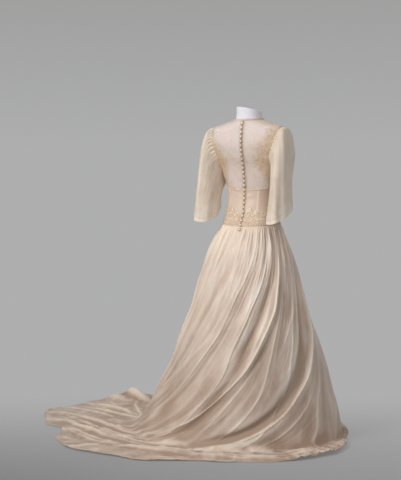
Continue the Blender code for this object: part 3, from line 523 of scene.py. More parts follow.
def skirt_grid(angles, rows):
    """Outer points and the height of the folds over waist angles and rows."""
    waist_angle, row = np.meshgrid(angles, rows)
    step = 0.5
    down = 0.01
    base = skirt_base(waist_angle, row)
    across = skirt_base(waist_angle + step, row) - skirt_base(waist_angle - step, row)
    lower = skirt_base(waist_angle, np.minimum(row + down, 2.0))
    upper = skirt_base(waist_angle, np.maximum(row - down, 0.0))
    facing = unit(np.cross(across, upper - lower))
    rise = main_folds(waist_angle, row)
    rise = np.where(rise < 0, rise * (1 - fade(row, 0.90, 1.04)), rise)
    rise = rise + gathers(waist_angle, row) + fine_creases(waist_angle, row)
    rise = rise + train_crest(waist_angle, row)
    rise = rise + drape_creases(waist_angle, row)
    rise = rise + 0.0060 * fade(row, 0.15, 0.5) * rough_noise(base, 5.5, 1)
    rise = rise + floor_folds(base, row)
    grid = base + rise[..., None] * facing
    grid[..., 2] += (CLOTH + 0.0002) * fade(row, 0.0, 0.3)
    floor_line = CLOTH + 0.0002
    grid[..., 2] = np.where(row > 0.5, np.maximum(grid[..., 2], floor_line), grid[..., 2])
    return grid, rise


# Materials

def shader_of(name, roughness, sheen=0.0, sheen_colour=(1.0, 0.95, 0.88)):
    made = bpy.data.materials.new(name)
    made.use_nodes = True
    shader = made.node_tree.nodes["Principled BSDF"]
    shader.inputs["Roughness"].default_value = roughness
    shader.inputs["Sheen Weight"].default_value = sheen
    shader.inputs["Sheen Roughness"].default_value = 0.4
    shader.inputs["Sheen Tint"].default_value = (*sheen_colour, 1.0)
    shader.inputs["Specular IOR Level"].default_value = 0.35
    return made, made.node_tree, shader


def add_node(tree, kind, inputs=(), **settings):
    made = tree.nodes.new(kind)
    for name, value in settings.items():
        setattr(made, name, value)
    for name, value in inputs:
        made.inputs[name].default_value = value
    return made


def noise_value(tree, where, scale, detail=2.0, rough=0.5):
    made = add_node(tree, "ShaderNodeTexNoise",
                    [("Scale", scale), ("Detail", detail), ("Roughness", rough)])
    tree.links.new(where, made.inputs["Vector"])
    return made.outputs["Fac"]


def stretched(tree, where, scale):
    made = add_node(tree, "ShaderNodeMapping", [("Scale", scale)])
    tree.links.new(where, made.inputs["Vector"])
    return made.outputs["Vector"]


def ramp_colour(tree, factor, stops):
    made = add_node(tree, "ShaderNodeValToRGB")
    ramp = made.color_ramp
    while len(ramp.elements) < len(stops):
        ramp.elements.new(0.5)
    for element, (place, colour) in zip(ramp.elements, stops):
        element.position = place
        element.color = (*colour, 1.0)
    tree.links.new(factor, made.inputs["Fac"])
    return made.outputs["Color"]


def number(tree, kind, first, second, clamp=False):
    made = add_node(tree, "ShaderNodeMath", operation=kind, use_clamp=clamp)
    for socket, value in zip(made.inputs, (first, second)):
        if isinstance(value, (int, float)):
            socket.default_value = value
        else:
            tree.links.new(value, socket)
    return made.outputs["Value"]


def blend_colour(tree, kind, factor, first, second):
    made = add_node(tree, "ShaderNodeMix", data_type="RGBA", blend_type=kind)
    for socket, value in ((made.inputs[0], factor), (made.inputs[6], first), (made.inputs[7], second)):
        if isinstance(value, (int, float)):
            socket.default_value = value
        elif isinstance(value, tuple):
            socket.default_value = (*value, 1.0)
        else:
            tree.links.new(value, socket)
    return made.outputs[2]


def add_bump(tree, height, strength, distance, before=None):
    made = add_node(tree, "ShaderNodeBump", [("Strength", strength), ("Distance", distance)])
    tree.links.new(height, made.inputs["Height"])
    if before is not None:
        tree.links.new(before, made.inputs["Normal"])
    return made.outputs["Normal"]


def thread_height(tree, where, across, along):
    """Woven threads: two sets of fine waves, some thicker than others."""
    first = add_node(tree, "ShaderNodeTexWave", [("Scale", across), ("Distortion", 0.6)],
                     bands_direction="X")
    second = add_node(tree, "ShaderNodeTexWave", [("Scale", along), ("Distortion", 0.6)],
                      bands_direction="Y")
    tree.links.new(where, first.inputs["Vector"])
    tree.links.new(where, second.inputs["Vector"])
    return number(tree, "ADD", first.outputs["Fac"], second.outputs["Fac"])


GLEAM_PAINTED_HIGHLIGHT = (0.90, 0.83, 0.78)     # painted highlight of the satin lining where it shines through


def silk_material(name, hollow, flat, ridge, roughness, sheen, threads, crinkle):
    """Silk with painted light and shade: ridges painted pale and warm as a painted highlight, hollows painted
    darker as painted shade, with slubs in the weave. The attribute fold is 0 in a hollow and 1 on a ridge."""
    made, tree, shader = shader_of(name, roughness, sheen)
    place = add_node(tree, "ShaderNodeTexCoord")
    solid = place.outputs["Object"]
    cloth = place.outputs["UV"]
    fold = add_node(tree, "ShaderNodeAttribute", attribute_name="fold").outputs["Fac"]
    drift = noise_value(tree, stretched(tree, solid, (1.0, 1.0, 0.5)), 7.0, 5.0, 0.6)
    slub = noise_value(tree, stretched(tree, cloth, (30.0, 700.0, 1.0)), 1.0, 2.0)
    streak = noise_value(tree, stretched(tree, cloth, (500.0, 12.0, 1.0)), 1.0, 2.0)
    tone = number(tree, "ADD", fold, number(tree, "MULTIPLY", number(tree, "SUBTRACT", drift, 0.5), 0.9))
    tone = number(tree, "ADD", tone, number(tree, "MULTIPLY", number(tree, "SUBTRACT", streak, 0.5), 0.2),
                  True)
    # painted shade in the hollows and painted highlight on the ridges, by the fold tone
    colour = ramp_colour(tree, tone, ((0.0, hollow), (0.5, flat), (1.0, ridge)))
    # painted highlight: the satin lining's gleam mixed in as a pale colour
    lining = add_node(tree, "ShaderNodeAttribute", attribute_name="gleam").outputs["Fac"]
    patches = noise_value(tree, stretched(tree, cloth, (26.0, 7.0, 1.0)), 1.0, 4.0, 0.6)
    patches = number(tree, "SUBTRACT", patches, 0.38)
    lining = number(tree, "MULTIPLY", number(tree, "MULTIPLY", lining, patches), 4.5, True)
    colour = blend_colour(tree, "MIX", lining, colour, GLEAM_PAINTED_HIGHLIGHT)
    yarn = number(tree, "ADD", number(tree, "MULTIPLY", slub, 0.16), 0.92)
    colour = blend_colour(tree, "MULTIPLY", 1.0, colour, yarn)
    tree.links.new(colour, shader.inputs["Base Color"])
    gloss = number(tree, "ADD", number(tree, "MULTIPLY", drift, 0.16), roughness - 0.08)
    tree.links.new(gloss, shader.inputs["Roughness"])
    wrinkle = number(tree, "ADD", noise_value(tree, solid, 38.0, 3.0, 0.55),
                     number(tree, "MULTIPLY", noise_value(tree, solid, 130.0, 2.0), 0.35))
    bumped = add_bump(tree, wrinkle, crinkle, 0.004)
    pull = noise_value(tree, stretched(tree, cloth, (170.0, 4.0, 1.0)), 1.0, 3.0, 0.6)
    bumped = add_bump(tree, pull, crinkle, 0.003, bumped)
    weave = number(tree, "ADD", thread_height(tree, cloth, *threads), slub)
    bumped = add_bump(tree, weave, 0.12, 0.0003, bumped)
    tree.links.new(bumped, shader.inputs["Normal"])
    return made


def sheer_material(name, thin, thick, cover, sheen, net, line=0.22, streaks=0.1):
    """Net or organza that shows what lies under it: cover is the share of it that is thread,
    more where the attribute dense is high. net is the meshes a metre, line how much their
    threads cover and streaks how uneven the cloth is down its length."""
    made, tree, shader = shader_of(name, 0.55, sheen)
    place = add_node(tree, "ShaderNodeTexCoord")
    cloth = place.outputs["UV"]
    solid = place.outputs["Object"]
    dense = add_node(tree, "ShaderNodeAttribute", attribute_name="dense").outputs["Fac"]
    fold = add_node(tree, "ShaderNodeAttribute", attribute_name="fold").outputs["Fac"]
    cells = add_node(tree, "ShaderNodeTexVoronoi", [("Scale", net)], feature="DISTANCE_TO_EDGE")
    tree.links.new(cloth, cells.inputs["Vector"])
    mesh_line = add_node(tree, "ShaderNodeMapRange",
                         [("From Min", 0.02), ("From Max", 0.16), ("To Min", 1.0), ("To Max", 0.0)])
    tree.links.new(cells.outputs["Distance"], mesh_line.inputs["Value"])
    thread = mesh_line.outputs["Result"]
    drift = noise_value(tree, solid, 18.0, 3.0)
    streak = noise_value(tree, stretched(tree, cloth, (420.0, 9.0, 1.0)), 1.0, 3.0)
    streak = number(tree, "MULTIPLY", number(tree, "SUBTRACT", streak, 0.5), streaks * 4)
    mask = number(tree, "ADD", number(tree, "MULTIPLY", thread, line), streak)
    mask = number(tree, "ADD", mask, cover)
    mask = number(tree, "ADD", mask, number(tree, "MULTIPLY", dense, 0.45))
    mask = number(tree, "ADD", mask, number(tree, "MULTIPLY", number(tree, "SUBTRACT", drift, 0.5), 0.3),
                  True)
    tree.links.new(mask, shader.inputs["Alpha"])
    # the fold attribute adds painted shade in the hollows and a painted highlight on the ridges
    tone = number(tree, "ADD", number(tree, "MULTIPLY", dense, 0.7),
                  number(tree, "MULTIPLY", number(tree, "SUBTRACT", fold, 0.5), 0.8))
    tone = number(tree, "ADD", tone, number(tree, "MULTIPLY", drift, 0.4))
    tone = number(tree, "ADD", tone, number(tree, "MULTIPLY", thread, line), True)
    colour = ramp_colour(tree, tone, ((0.0, thin), (1.0, thick)))
    tree.links.new(colour, shader.inputs["Base Color"])
    bumped = add_bump(tree, noise_value(tree, solid, 60.0, 3.0), 0.3, 0.002)
    bumped = add_bump(tree, thread, 0.25, 0.0004, bumped)
    tree.links.new(bumped, shader.inputs["Normal"])
    return made


def lace_material(name, dark, light):
    """Corded lace thread with small variations of tone."""
    made, tree, shader = shader_of(name, 0.6, 0.2)
    solid = add_node(tree, "ShaderNodeTexCoord").outputs["Object"]
    drift = noise_value(tree, solid, 90.0, 3.0)
    fine = noise_value(tree, solid, 900.0, 2.0)
    tone = number(tree, "ADD", number(tree, "MULTIPLY", drift, 0.7), number(tree, "MULTIPLY", fine, 0.4),
                  True)
    tree.links.new(ramp_colour(tree, tone, ((0.2, dark), (0.85, light))), shader.inputs["Base Color"])
    tree.links.new(add_bump(tree, fine, 0.5, 0.0006), shader.inputs["Normal"])
    return made


def jersey_material():
    """Knitted cover of the form: fine ribs, a little pilled."""
    made, tree, shader = shader_of("form_jersey_knit", 0.8, 0.25, (0.95, 0.94, 1.0))
    solid = add_node(tree, "ShaderNodeTexCoord").outputs["Object"]
    rib = add_node(tree, "ShaderNodeTexWave", [("Scale", 160.0), ("Distortion", 1.2)],
                   bands_direction="X")
    tree.links.new(solid, rib.inputs["Vector"])
    fuzz = noise_value(tree, solid, 400.0, 3.0)
    soil = noise_value(tree, solid, 12.0, 3.0)
    tone = number(tree, "ADD", number(tree, "MULTIPLY", soil, 0.7), number(tree, "MULTIPLY", fuzz, 0.3))
    colour = ramp_colour(tree, tone, ((0.25, (0.70, 0.67, 0.72)), (0.8, (0.82, 0.79, 0.85))))
    tree.links.new(colour, shader.inputs["Base Color"])
    height = number(tree, "ADD", rib.outputs["Fac"], fuzz)
    tree.links.new(add_bump(tree, height, 0.25, 0.0006), shader.inputs["Normal"])
    return made


def steel_material():
    """Brushed steel with faint scuffs."""
    made, tree, shader = shader_of("stand_brushed_steel", 0.35)
    solid = add_node(tree, "ShaderNodeTexCoord").outputs["Object"]
    brush = noise_value(tree, stretched(tree, solid, (8.0, 8.0, 600.0)), 1.0, 2.0)
    scuff = noise_value(tree, solid, 40.0, 4.0)
    colour = ramp_colour(tree, scuff, ((0.3, (0.30, 0.30, 0.31)), (0.7, (0.46, 0.46, 0.47))))
    tree.links.new(colour, shader.inputs["Base Color"])
    gloss = number(tree, "ADD", number(tree, "MULTIPLY", brush, 0.25), 0.22)
    tree.links.new(gloss, shader.inputs["Roughness"])
    shader.inputs["Metallic"].default_value = 0.9
    tree.links.new(add_bump(tree, brush, 0.15, 0.0002), shader.inputs["Normal"])
    return made


# Colours of each silk: painted shade in the hollows, the flat cloth, painted highlight on the ridges.
SILK = silk_material("ivory_silk_organza", (0.48, 0.34, 0.25), (0.76, 0.61, 0.51), (0.96, 0.83, 0.67),
                     0.36, 0.35, (260.0, 260.0), 0.40)
SATIN = silk_material("ivory_satin_cloth", (0.46, 0.32, 0.22), (0.64, 0.50, 0.41), (0.84, 0.71, 0.56),
                      0.48, 0.20, (300.0, 300.0), 0.12)
ORGANZA = sheer_material("sleeve_organza", (0.86, 0.73, 0.61), (0.98, 0.88, 0.74), 0.56, 0.5, 420.0,
                         0.1, 0.22)
YOKE_NET = sheer_material("yoke_net", (0.93, 0.82, 0.75), (0.80, 0.62, 0.45), 0.24, 0.3, 420.0)
BAND_LACE = sheer_material("waist_band_lace", (0.74, 0.56, 0.40), (0.92, 0.78, 0.62), 0.42, 0.2, 170.0,
                           0.45, 0.0)
LACE = lace_material("ivory_corded_lace", (0.50, 0.34, 0.22), (0.88, 0.73, 0.56))
TAN_LACE = lace_material("antique_tan_lace", (0.46, 0.30, 0.18), (0.86, 0.68, 0.49))
# dark cord colour of the loops and the placket, painted shade between the buttons
CORD_PAINTED_SHADE = lace_material("loop_cord_painted_shade", (0.26, 0.16, 0.09), (0.50, 0.34, 0.20))
JERSEY = jersey_material()
STEEL = steel_material()


# Cloth shells

def add_mesh(name, points, faces, look, replaced=(), slot=None, normals=None, uv=None, values=()):
    """Smooth mesh that rides on the one body. values are named numbers, one for each point."""
    mesh = bpy.data.meshes.new(name)
    mesh.from_pydata(np.asarray(points).tolist(), [], np.asarray(faces).tolist()
                     if isinstance(faces, np.ndarray) else faces)
    mesh.polygons.foreach_set("use_smooth", [True] * len(mesh.polygons))
    if uv is not None:
        layer = mesh.uv_layers.new(name="UVMap")
        corners = np.zeros(len(mesh.loops), int)
        mesh.loops.foreach_get("vertex_index", corners)
        layer.data.foreach_set("uv", np.asarray(uv, np.float32)[corners].ravel())
    for label, numbers in values:
        attribute = mesh.attributes.new(label, "FLOAT", "POINT")
        attribute.data.foreach_set("value", np.asarray(numbers, np.float32).ravel())
    mesh.materials.append(look)
    if normals is not None:
        mesh.normals_split_custom_set_from_vertices(np.asarray(normals).tolist())
    piece = bpy.data.objects.new(name, mesh)
    bpy.context.scene.collection.objects.link(piece)
    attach(piece, "root")
    if replaced:
        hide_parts(*replaced)
    return piece


def shell_faces(rows, columns, wrap, outward):
    """Quads of a wall with two sides and closed edges. outward is 1 when a face that runs
    along the columns first faces out."""
    r, c = np.meshgrid(np.arange(rows - 1), np.arange(columns if wrap else columns - 1), indexing="ij")
    a = (r * columns + c).ravel()
    b = (r * columns + (c + 1) % columns).ravel()
    quads = np.stack([a, b, b + columns, a + columns], -1)
    if outward < 0:
        quads = quads[:, ::-1]
    count = rows * columns
    sides = [quads, quads[:, ::-1] + count]
    c = np.arange(columns if wrap else columns - 1)
    edges = [(c, (c + 1) % columns), ((rows - 1) * columns + (c + 1) % columns, (rows - 1) * columns + c)]
    if not wrap:
        r = np.arange(rows - 1) * columns
        edges += [(r + columns - 1, r + 2 * columns - 1), (r + columns, r)]
    for first, second in edges:
        rim = np.stack([second, first, first + count, second + count], -1)
        sides.append(rim if outward > 0 else rim[:, ::-1])
    return np.concatenate(sides)


def add_shell(name, outer, normal, wall, look, scale, wrap=False, outward=1, values=(), **more):
    """Cloth of some thickness from its outer points. scale is the cloth's width and length."""
    rows, columns = outer.shape[:2]
    inner = outer - wall * normal
    inner[..., 2] = np.maximum(inner[..., 2], 0.0002)
    across = np.linspace(0, scale[0], columns)
    down = np.linspace(0, scale[1], rows)
    uv = np.stack(np.meshgrid(across, down), -1).reshape(-1, 2)
    points = np.concatenate([outer.reshape(-1, 3), inner.reshape(-1, 3)])
    normals = np.concatenate([normal.reshape(-1, 3), -normal.reshape(-1, 3)])
    doubled = [(label, np.concatenate([v.ravel(), v.ravel()])) for label, v in values]
    faces = shell_faces(rows, columns, wrap, outward)
    return add_mesh(name, points, faces, look, normals=normals, uv=np.concatenate([uv, uv]),
                    values=doubled, **more)


def blurred(values, reach, wrap=False):
    """Mean of each value's neighbours along the columns."""
    padded = np.pad(values, ((0, 0), (reach, reach)), mode="wrap" if wrap else "edge")
    count = values.shape[1]
    return sum(padded[:, k:k + count] for k in range(2 * reach + 1)) / (2 * reach + 1)


def fold_painted_shade_tone(rise, reach, scale):
    """Painted light and shade of the folds: 0 in a hollow, painted shade, to 1 on a ridge, painted highlight,
    from how far the cloth stands over its neighbours. reach is how many columns and rows away they are. The
    columns run all round."""
    mean = blurred(blurred(rise, reach[0], True).T, reach[1]).T
    return 0.5 + 0.5 * np.tanh((rise - mean) / scale)


# Cut of each gore before it was gathered: width, length, area
GORE_CUTS = (
    ("skirt_side_left", 0.62, 1.48, 0.41), ("skirt_back_left", 0.52, 1.66, 0.48),
    ("skirt_back_right", 0.80, 1.67, 0.61), ("skirt_side_right", 0.98, 1.50, 0.56),
    ("skirt_front_right", 1.06, 1.22, 0.62), ("skirt_front_left", 0.62, 1.16, 0.44),
)


# Skirt

LOW_PAINTED_SHADE = 0.26        # painted shade: how much darker the cloth is painted low down on the skirt
# Painted highlight where the satin lining gleams through: waist angle at the upper and the lower end, first and
# last row, half-width in degrees, strength
GLEAMS = (
    (143, 140, 0.02, 0.28, 3.5, 1.0), (139, 129, 0.20, 0.44, 5.0, 1.0), (106, 99, 0.20, 0.38, 6.0, 0.7),
    (141, 137, 0.42, 0.66, 4.0, 0.8), (122, 115, 0.04, 0.22, 5.0, 0.6), (197, 195, 0.52, 0.82, 3.0, 0.8),
    (184, 187, 0.42, 0.72, 3.0, 0.5), (80, 70, 0.12, 0.36, 5.0, 0.5), (90, 80, 0.48, 0.72, 5.0, 0.4),
    (172, 174, 0.10, 0.36, 3.0, 0.5), (222, 224, 0.30, 0.75, 4.0, 0.6), (300, 300, 0.15, 0.60, 7.0, 0.6),
    (262, 264, 0.10, 0.50, 5.0, 0.5), (335, 332, 0.20, 0.60, 6.0, 0.5), (20, 24, 0.30, 0.70, 6.0, 0.4),
)
# Painted light and shade round the skirt, paler and warmer where painted light falls, darker where painted shade
# is: waist angle, half-width, change of tone
SIDE_PAINTED_LIGHT_AND_SHADE = ((48, 26, 0.16), (226, 24, -0.14), (150, 16, -0.05))


def gleam(waist_angle, row):
    """How strong the painted highlight of the lining's gleam is, 0 to 1."""
    total = np.zeros_like(waist_angle)
    for upper, lower, first, last, wide, strength in GLEAMS:
        share = np.clip((row - first) / (last - first), 0, 1)
        shown = fade(share, 0.0, 0.35) * (1 - fade(share, 0.55, 1.0))
        away = around(waist_angle, upper + (lower - upper) * share)
        total = np.maximum(total, strength * shown * np.exp(-(away / wide) ** 2))
    return total


def build_skirt():
    count = SKIRT_COLUMNS * SKIRT_SPLIT
    steps = np.arange(count + 1) - CENTRE_BACK_COLUMN * SKIRT_SPLIT
    angles = 90.0 + 360.0 * steps / count
    fall, floor = SKIRT_ROWS
    rows = np.concatenate([np.linspace(0, 1, fall) ** 1.15, 1 + np.arange(1, floor + 1) / floor])
    grid, rise = skirt_grid(angles, rows)
    grid[:, -1] = grid[:, 0]
    rise[:, -1] = rise[:, 0]
    normal = -grid_normals(grid[:, :-1], True)
    normal = np.concatenate([normal, normal[:, :1]], axis=1)
    # painted shade in the folds' hollows and painted highlight on their ridges
    tone = fold_painted_shade_tone(rise[:, :-1], (12, 6), 0.0045)
    waist_angle, row = np.meshgrid(angles[:-1], rows)
    # painted light and shade by the side of the skirt
    for middle, wide, change in SIDE_PAINTED_LIGHT_AND_SHADE:
        tone = tone + change * np.exp(-(around(waist_angle, middle) / wide) ** 2)
    lit = gleam(waist_angle, row)
    lit = np.concatenate([lit, lit[:, :1]], axis=1)
    # painted shade in the hollow above the third sweep, painted light below it
    for off, wide, change, first in SWEEP_PAINTED_SHADE_AND_LIGHT:
        away = around(waist_angle, fold_crest("sweep_three", row) + off)
        shown = fade(row, first, first + 0.25) * (1 - fade(row, 0.98, 1.2))
        tone = tone + change * shown * np.exp(-(away / wide) ** 2)
    # painted shade, darker towards the floor
    shade = fade(rows, 0.40, 0.95) * (1 - 0.4 * fade(rows, 1.25, 1.7))
    tone = tone - LOW_PAINTED_SHADE * shade[:, None]
    tone = np.concatenate([tone, tone[:, :1]], axis=1)
    for (name, first, last), (_, wide, long, area) in zip(GORES, GORE_CUTS):
        part = slice(first * SKIRT_SPLIT, last * SKIRT_SPLIT + 1)
        width = (last - first) * SKIRT_SPLIT
        gore = add_shell(name + "_cloth", grid[:, part], normal[:, part], CLOTH, SILK,
                  (width * 0.0062, 1.35), outward=-1,
                  values=[("fold", tone[:, part]), ("gleam", lit[:, part])],
                  replaced=[name], slot="ivory_silk")


# Bodice

BACK_PANEL = (96, 60)   # columns in a quarter turn, rows of a yoke
MIDRIFF_ROWS = 30
PRINCESS_SEAMS = (48.0, 120.0)      # plan angles of the midriff's back seams
LOOP_LINE = 0.023       # how far the facing's stitched line lies from the centre back


def panel(name, levels, first, last, columns, look, wall, detail, scale, values, cut, **more):
    """Panel of the bodice. cut is its flat width, length and area, and is not used."""
    share = np.linspace(0, 1, columns + 1)
    phi = first[:, None] + (last - first)[:, None] * share[None, :]
    level = np.broadcast_to(levels[:, None], phi.shape)
    outer = body_point(phi, level, detail(phi, level))
    normal = grid_normals(outer)
    named = [(label, function(phi, level)) for label, function in values]
    made = add_shell(name, outer, normal, wall, look, scale, values=named, **more)


def bodice_relief(phi, level):
    """Small rise of the cloth: the facing under the buttons."""
    back = around(phi, 90.0)
    spread = np.radians(back) * 0.115
    facing = 0.0006 * np.exp(-((spread + LOOP_LINE) / 0.0018) ** 2)
    facing = facing + 0.0005 * fade(spread, -0.009, -0.006) * (1 - fade(spread, 0.006, 0.009))
    return facing


def midriff_relief(phi, level):
    seams = sum(np.exp(-(around(phi, seam) / 1.1) ** 2) for seam in PRINCESS_SEAMS)
    front = sum(np.exp(-(around(phi, 270 + s) / 1.1) ** 2) for s in (-34, 34))
    crease = 0.0004 * np.sin(level * 8.0 + np.sin(np.radians(phi) * 5.0) * 1.6)
    crease = crease * fade(np.sin(np.radians(phi) * 3.0 + level), -0.2, 1.0)
    return bodice_relief(phi, level) + 0.0007 * (seams + front) + crease


def lace_density(phi, level):
    """Where the net of the yoke carries the most lace: along the armholes and the seam."""
    share = armhole_share(level)
    back = np.sin(np.radians(phi)) >= 0
    left, right = ARMHOLE_BACK
    edge = np.where(back, np.where(np.cos(np.radians(phi)) > 0, left, right), ARMHOLE_FRONT) * share
    off = np.abs(np.cos(np.radians(phi)))
    side = np.degrees(np.arccos(np.clip(off, 0, 1))) - edge
    near = 1 - fade(side, 5.0, 44.0)
    low = 1 - fade(level, 4.2, 8.0)
    high = np.where(np.cos(np.radians(phi)) > 0, 0.05, 0.55)
    return np.clip(near * (high + (1 - high) * low) + 0.12 * low, 0, 1)


def even_tone(phi, level):
    return 0.5 + 0.0 * phi + 0.0 * level


def seam_painted_light_and_shade(phi, level):
    """Painted light and shade of the midriff satin: a painted highlight along the raised seams and painted shade
    on the panel past the seam at 120 degrees.
    """
    seams = sum(np.exp(-(around(phi, seam) / 2.5) ** 2) for seam in PRINCESS_SEAMS)
    panel_painted_shade = 0.12 * np.sign(around(phi, PRINCESS_SEAMS[1]))
    return np.clip(0.55 + 0.3 * seams - 0.12 * fade(panel_painted_shade, 0.0, 0.1), 0, 1)


def build_bodice():
    columns, rows = BACK_PANEL
    levels = np.linspace(YOKE_SEAM, NECKLINE, rows)
    share = armhole_share(levels)
    flat = np.ones_like(levels)
    values = [("dense", lace_density), ("fold", even_tone)]
    net = dict(look=YOKE_NET, wall=SHEER_CLOTH, values=values, detail=bodice_relief, slot="sheer_yoke")
    left, right = ARMHOLE_BACK
    panel("back_yoke_left_net", levels, left * share, 90.0 * flat, columns,
          scale=(0.19, 0.33), cut=(0.22, 0.42, 0.0535), replaced=["back_yoke_left"], **net)
    panel("back_yoke_right_net", levels, 90.0 * flat, 180 - right * share, columns,
          scale=(0.19, 0.33), cut=(0.22, 0.44, 0.050), replaced=["back_yoke_right"], **net)
    panel("front_yoke_net", levels, 180 + ARMHOLE_FRONT * share, 360 - ARMHOLE_FRONT * share,
          2 * columns, scale=(0.38, 0.33), cut=(0.50, 0.47, 0.115), replaced=["front_yoke"], **net)
    levels = np.linspace(SKIRT_SEAM, YOKE_SEAM, MIDRIFF_ROWS)
    flat = np.ones_like(levels)
    satin = dict(look=SATIN, wall=CLOTH, values=[("fold", seam_painted_light_and_shade)], detail=midriff_relief,
                 slot="ivory_satin")
    panel("midriff_back_left_satin", levels, 0.0 * flat, 90.0 * flat, columns,
          scale=(0.19, 0.16), cut=(0.195, 0.17, 0.028), replaced=["midriff_back_left"], **satin)
    panel("midriff_back_right_satin", levels, 90.0 * flat, 180.0 * flat, columns,
          scale=(0.19, 0.16), cut=(0.195, 0.17, 0.028), replaced=["midriff_back_right"], **satin)
    panel("midriff_front_satin", levels, 180.0 * flat, 360.0 * flat, 2 * columns,
          scale=(0.38, 0.16), cut=(0.385, 0.17, 0.0565), replaced=["midriff_front"], **satin)


def add_tube(name, path, radius, look, closed=False, sides=8, **more):
    """Round cord along points, radius one value or one for each point."""
    path = np.asarray(path, float)
    ahead = np.roll(path, -1, axis=0) - np.roll(path, 1, axis=0)
    if not closed:
        ahead[0] = path[1] - path[0]
        ahead[-1] = path[-1] - path[-2]
    ahead = unit(ahead)
    lift = np.where(np.abs(ahead[:, 2:3]) > 0.9, np.array([[1.0, 0.0, 0.0]]), np.array([[0.0, 0.0, 1.0]]))
    side = unit(np.cross(ahead, lift))
    over = np.cross(side, ahead)
    radii = np.broadcast_to(radius, (len(path),))[:, None]
    points = []
    for k in range(sides):
        turn = 2 * math.pi * k / sides
        points.append(path + radii * (side * math.cos(turn) + over * math.sin(turn)))
    points = np.stack(points, 1).reshape(-1, 3)
    faces = []
    count = len(path)
    for i in range(count if closed else count - 1):
        for k in range(sides):
            a = i * sides + k
            b = i * sides + (k + 1) % sides
            c = (i + 1) % count * sides + (k + 1) % sides
            d = (i + 1) % count * sides + k
            faces.append((a, b, c, d))
    if not closed:
        faces.append(tuple(range(sides - 1, -1, -1)))
        faces.append(tuple(range((count - 1) * sides, count * sides)))
    if name is None:
        return points, faces
    return add_mesh(name, points, faces, look, **more)


def build_bodice_edges():
    """Piped yoke and waist seams and the neck binding."""
    phi = np.linspace(0.0, 360.0, 181)[:-1]
    seam = body_point(phi, np.full_like(phi, float(YOKE_SEAM)), 0.0007)
    add_tube("yoke_seam_piping", seam, 0.0018, TAN_LACE, closed=True, slot="ivory_satin")
    seam = body_point(phi, np.full_like(phi, float(SKIRT_SEAM)), 0.0006)
    add_tube("waist_seam_piping", seam, 0.0016, LACE, closed=True, slot="ivory_satin")
    phi = np.linspace(90.6, 449.4, 181)
    level = np.full_like(phi, float(NECKLINE))
    foot = body_point(phi, level, 0.0002)
    flat = unit(body_normal(phi, level) * np.array([1.0, 1.0, 0.0]))
    profile = ((0.0004, 0.0), (0.0012, 0.0004), (0.0040, 0.0002), (0.0062, -0.0001), (0.0070, -0.0008),
               (0.0066, -0.0016))
    outer = np.array([foot + np.array([0.0, 0.0, lift]) + out * flat for lift, out in profile])
    normal = grid_normals(outer)
    binding = add_shell("neck_binding_satin", outer, normal, 0.0009, SATIN, (0.42, 0.008),
                        values=[("fold", np.full(outer.shape[:2], 0.55))], replaced=["neck_binding"],
                        slot="ivory_satin")


# Sleeves

SLEEVE_HEM = (0.180, 0.098, 0.046, 0.086)       # centre x and y, half-width, half-depth
SLEEVE_HEM_Z = (0.985, 0.050, 0.030, 0.010)     # middle, rise at the front, fall at back, outer rise
SLEEVE_FOLDS = 7
ARMHOLE_STEPS = 48
SLEEVE_SPLIT = 3
SLEEVE_ROWS = 80
# Soft creases that hang from the sleeve head: angle round the sleeve at the head and at the
# hem (0 underarm, 90 back, 180 shoulder), first and last share, rise, half-width in degrees
SLEEVE_CREASES = (
    (18, 20, 0.10, 1.0, 0.0045, 5.0), (36, 33, 0.02, 0.70, -0.0035, 4.0), (52, 50, 0.0, 1.0, 0.0050, 4.5),
    (66, 62, 0.05, 0.55, -0.0040, 3.5), (80, 75, 0.0, 1.0, 0.0055, 4.0), (93, 92, 0.0, 0.80, -0.0060, 4.0),
    (104, 108, 0.0, 1.0, 0.0050, 3.5), (116, 121, 0.0, 0.92, -0.0045, 3.5), (127, 133, 0.0, 1.0, 0.0055, 4.0),
    (139, 146, 0.0, 0.65, -0.0040, 3.5), (150, 158, 0.0, 1.0, 0.0050, 4.0), (162, 169, 0.0, 0.50, -0.0035, 3.5),
    (173, 178, 0.0, 1.0, 0.0045, 4.0), (186, 187, 0.0, 0.75, -0.0040, 3.5), (198, 199, 0.0, 1.0, 0.0050, 4.5),
    (211, 213, 0.02, 0.60, -0.0035, 4.0), (226, 230, 0.0, 1.0, 0.0045, 5.0), (247, 249, 0.05, 1.0, -0.0040, 5.0),
    (266, 267, 0.02, 0.85, 0.0045, 5.0), (287, 286, 0.05, 1.0, 0.0040, 5.5), (310, 308, 0.10, 0.90, -0.0035, 5.0),
    (335, 334, 0.15, 1.0, 0.0035, 6.0),
)


def armhole_edge(steps, back):
    """Bodice points round a left armhole that reaches back degrees to the back: up the back
    edge, down the front edge."""
    turn = np.linspace(0, math.pi, steps + 1)
    levels = UNDERARM + (SHOULDER_TIP - UNDERARM) * (1 - np.cos(turn)) / 2
    share = armhole_share(levels)
    rising = body_base(back * share, levels), body_normal(back * share, levels)
    falling = body_base(-ARMHOLE_FRONT * share, levels), body_normal(-ARMHOLE_FRONT * share, levels)
    points = np.concatenate([rising[0], falling[0][-2:0:-1]])
    normals = np.concatenate([rising[1], falling[1][-2:0:-1]])
    return points, normals


def split_loop(loop, parts):
    """Points of a closed loop with each step cut in equal parts."""
    ahead = np.roll(loop, -1, axis=0)
    share = np.arange(parts) / parts
    return (loop[:, None] * (1 - share)[None, :, None]
            + ahead[:, None] * share[None, :, None]).reshape(-1, 3)


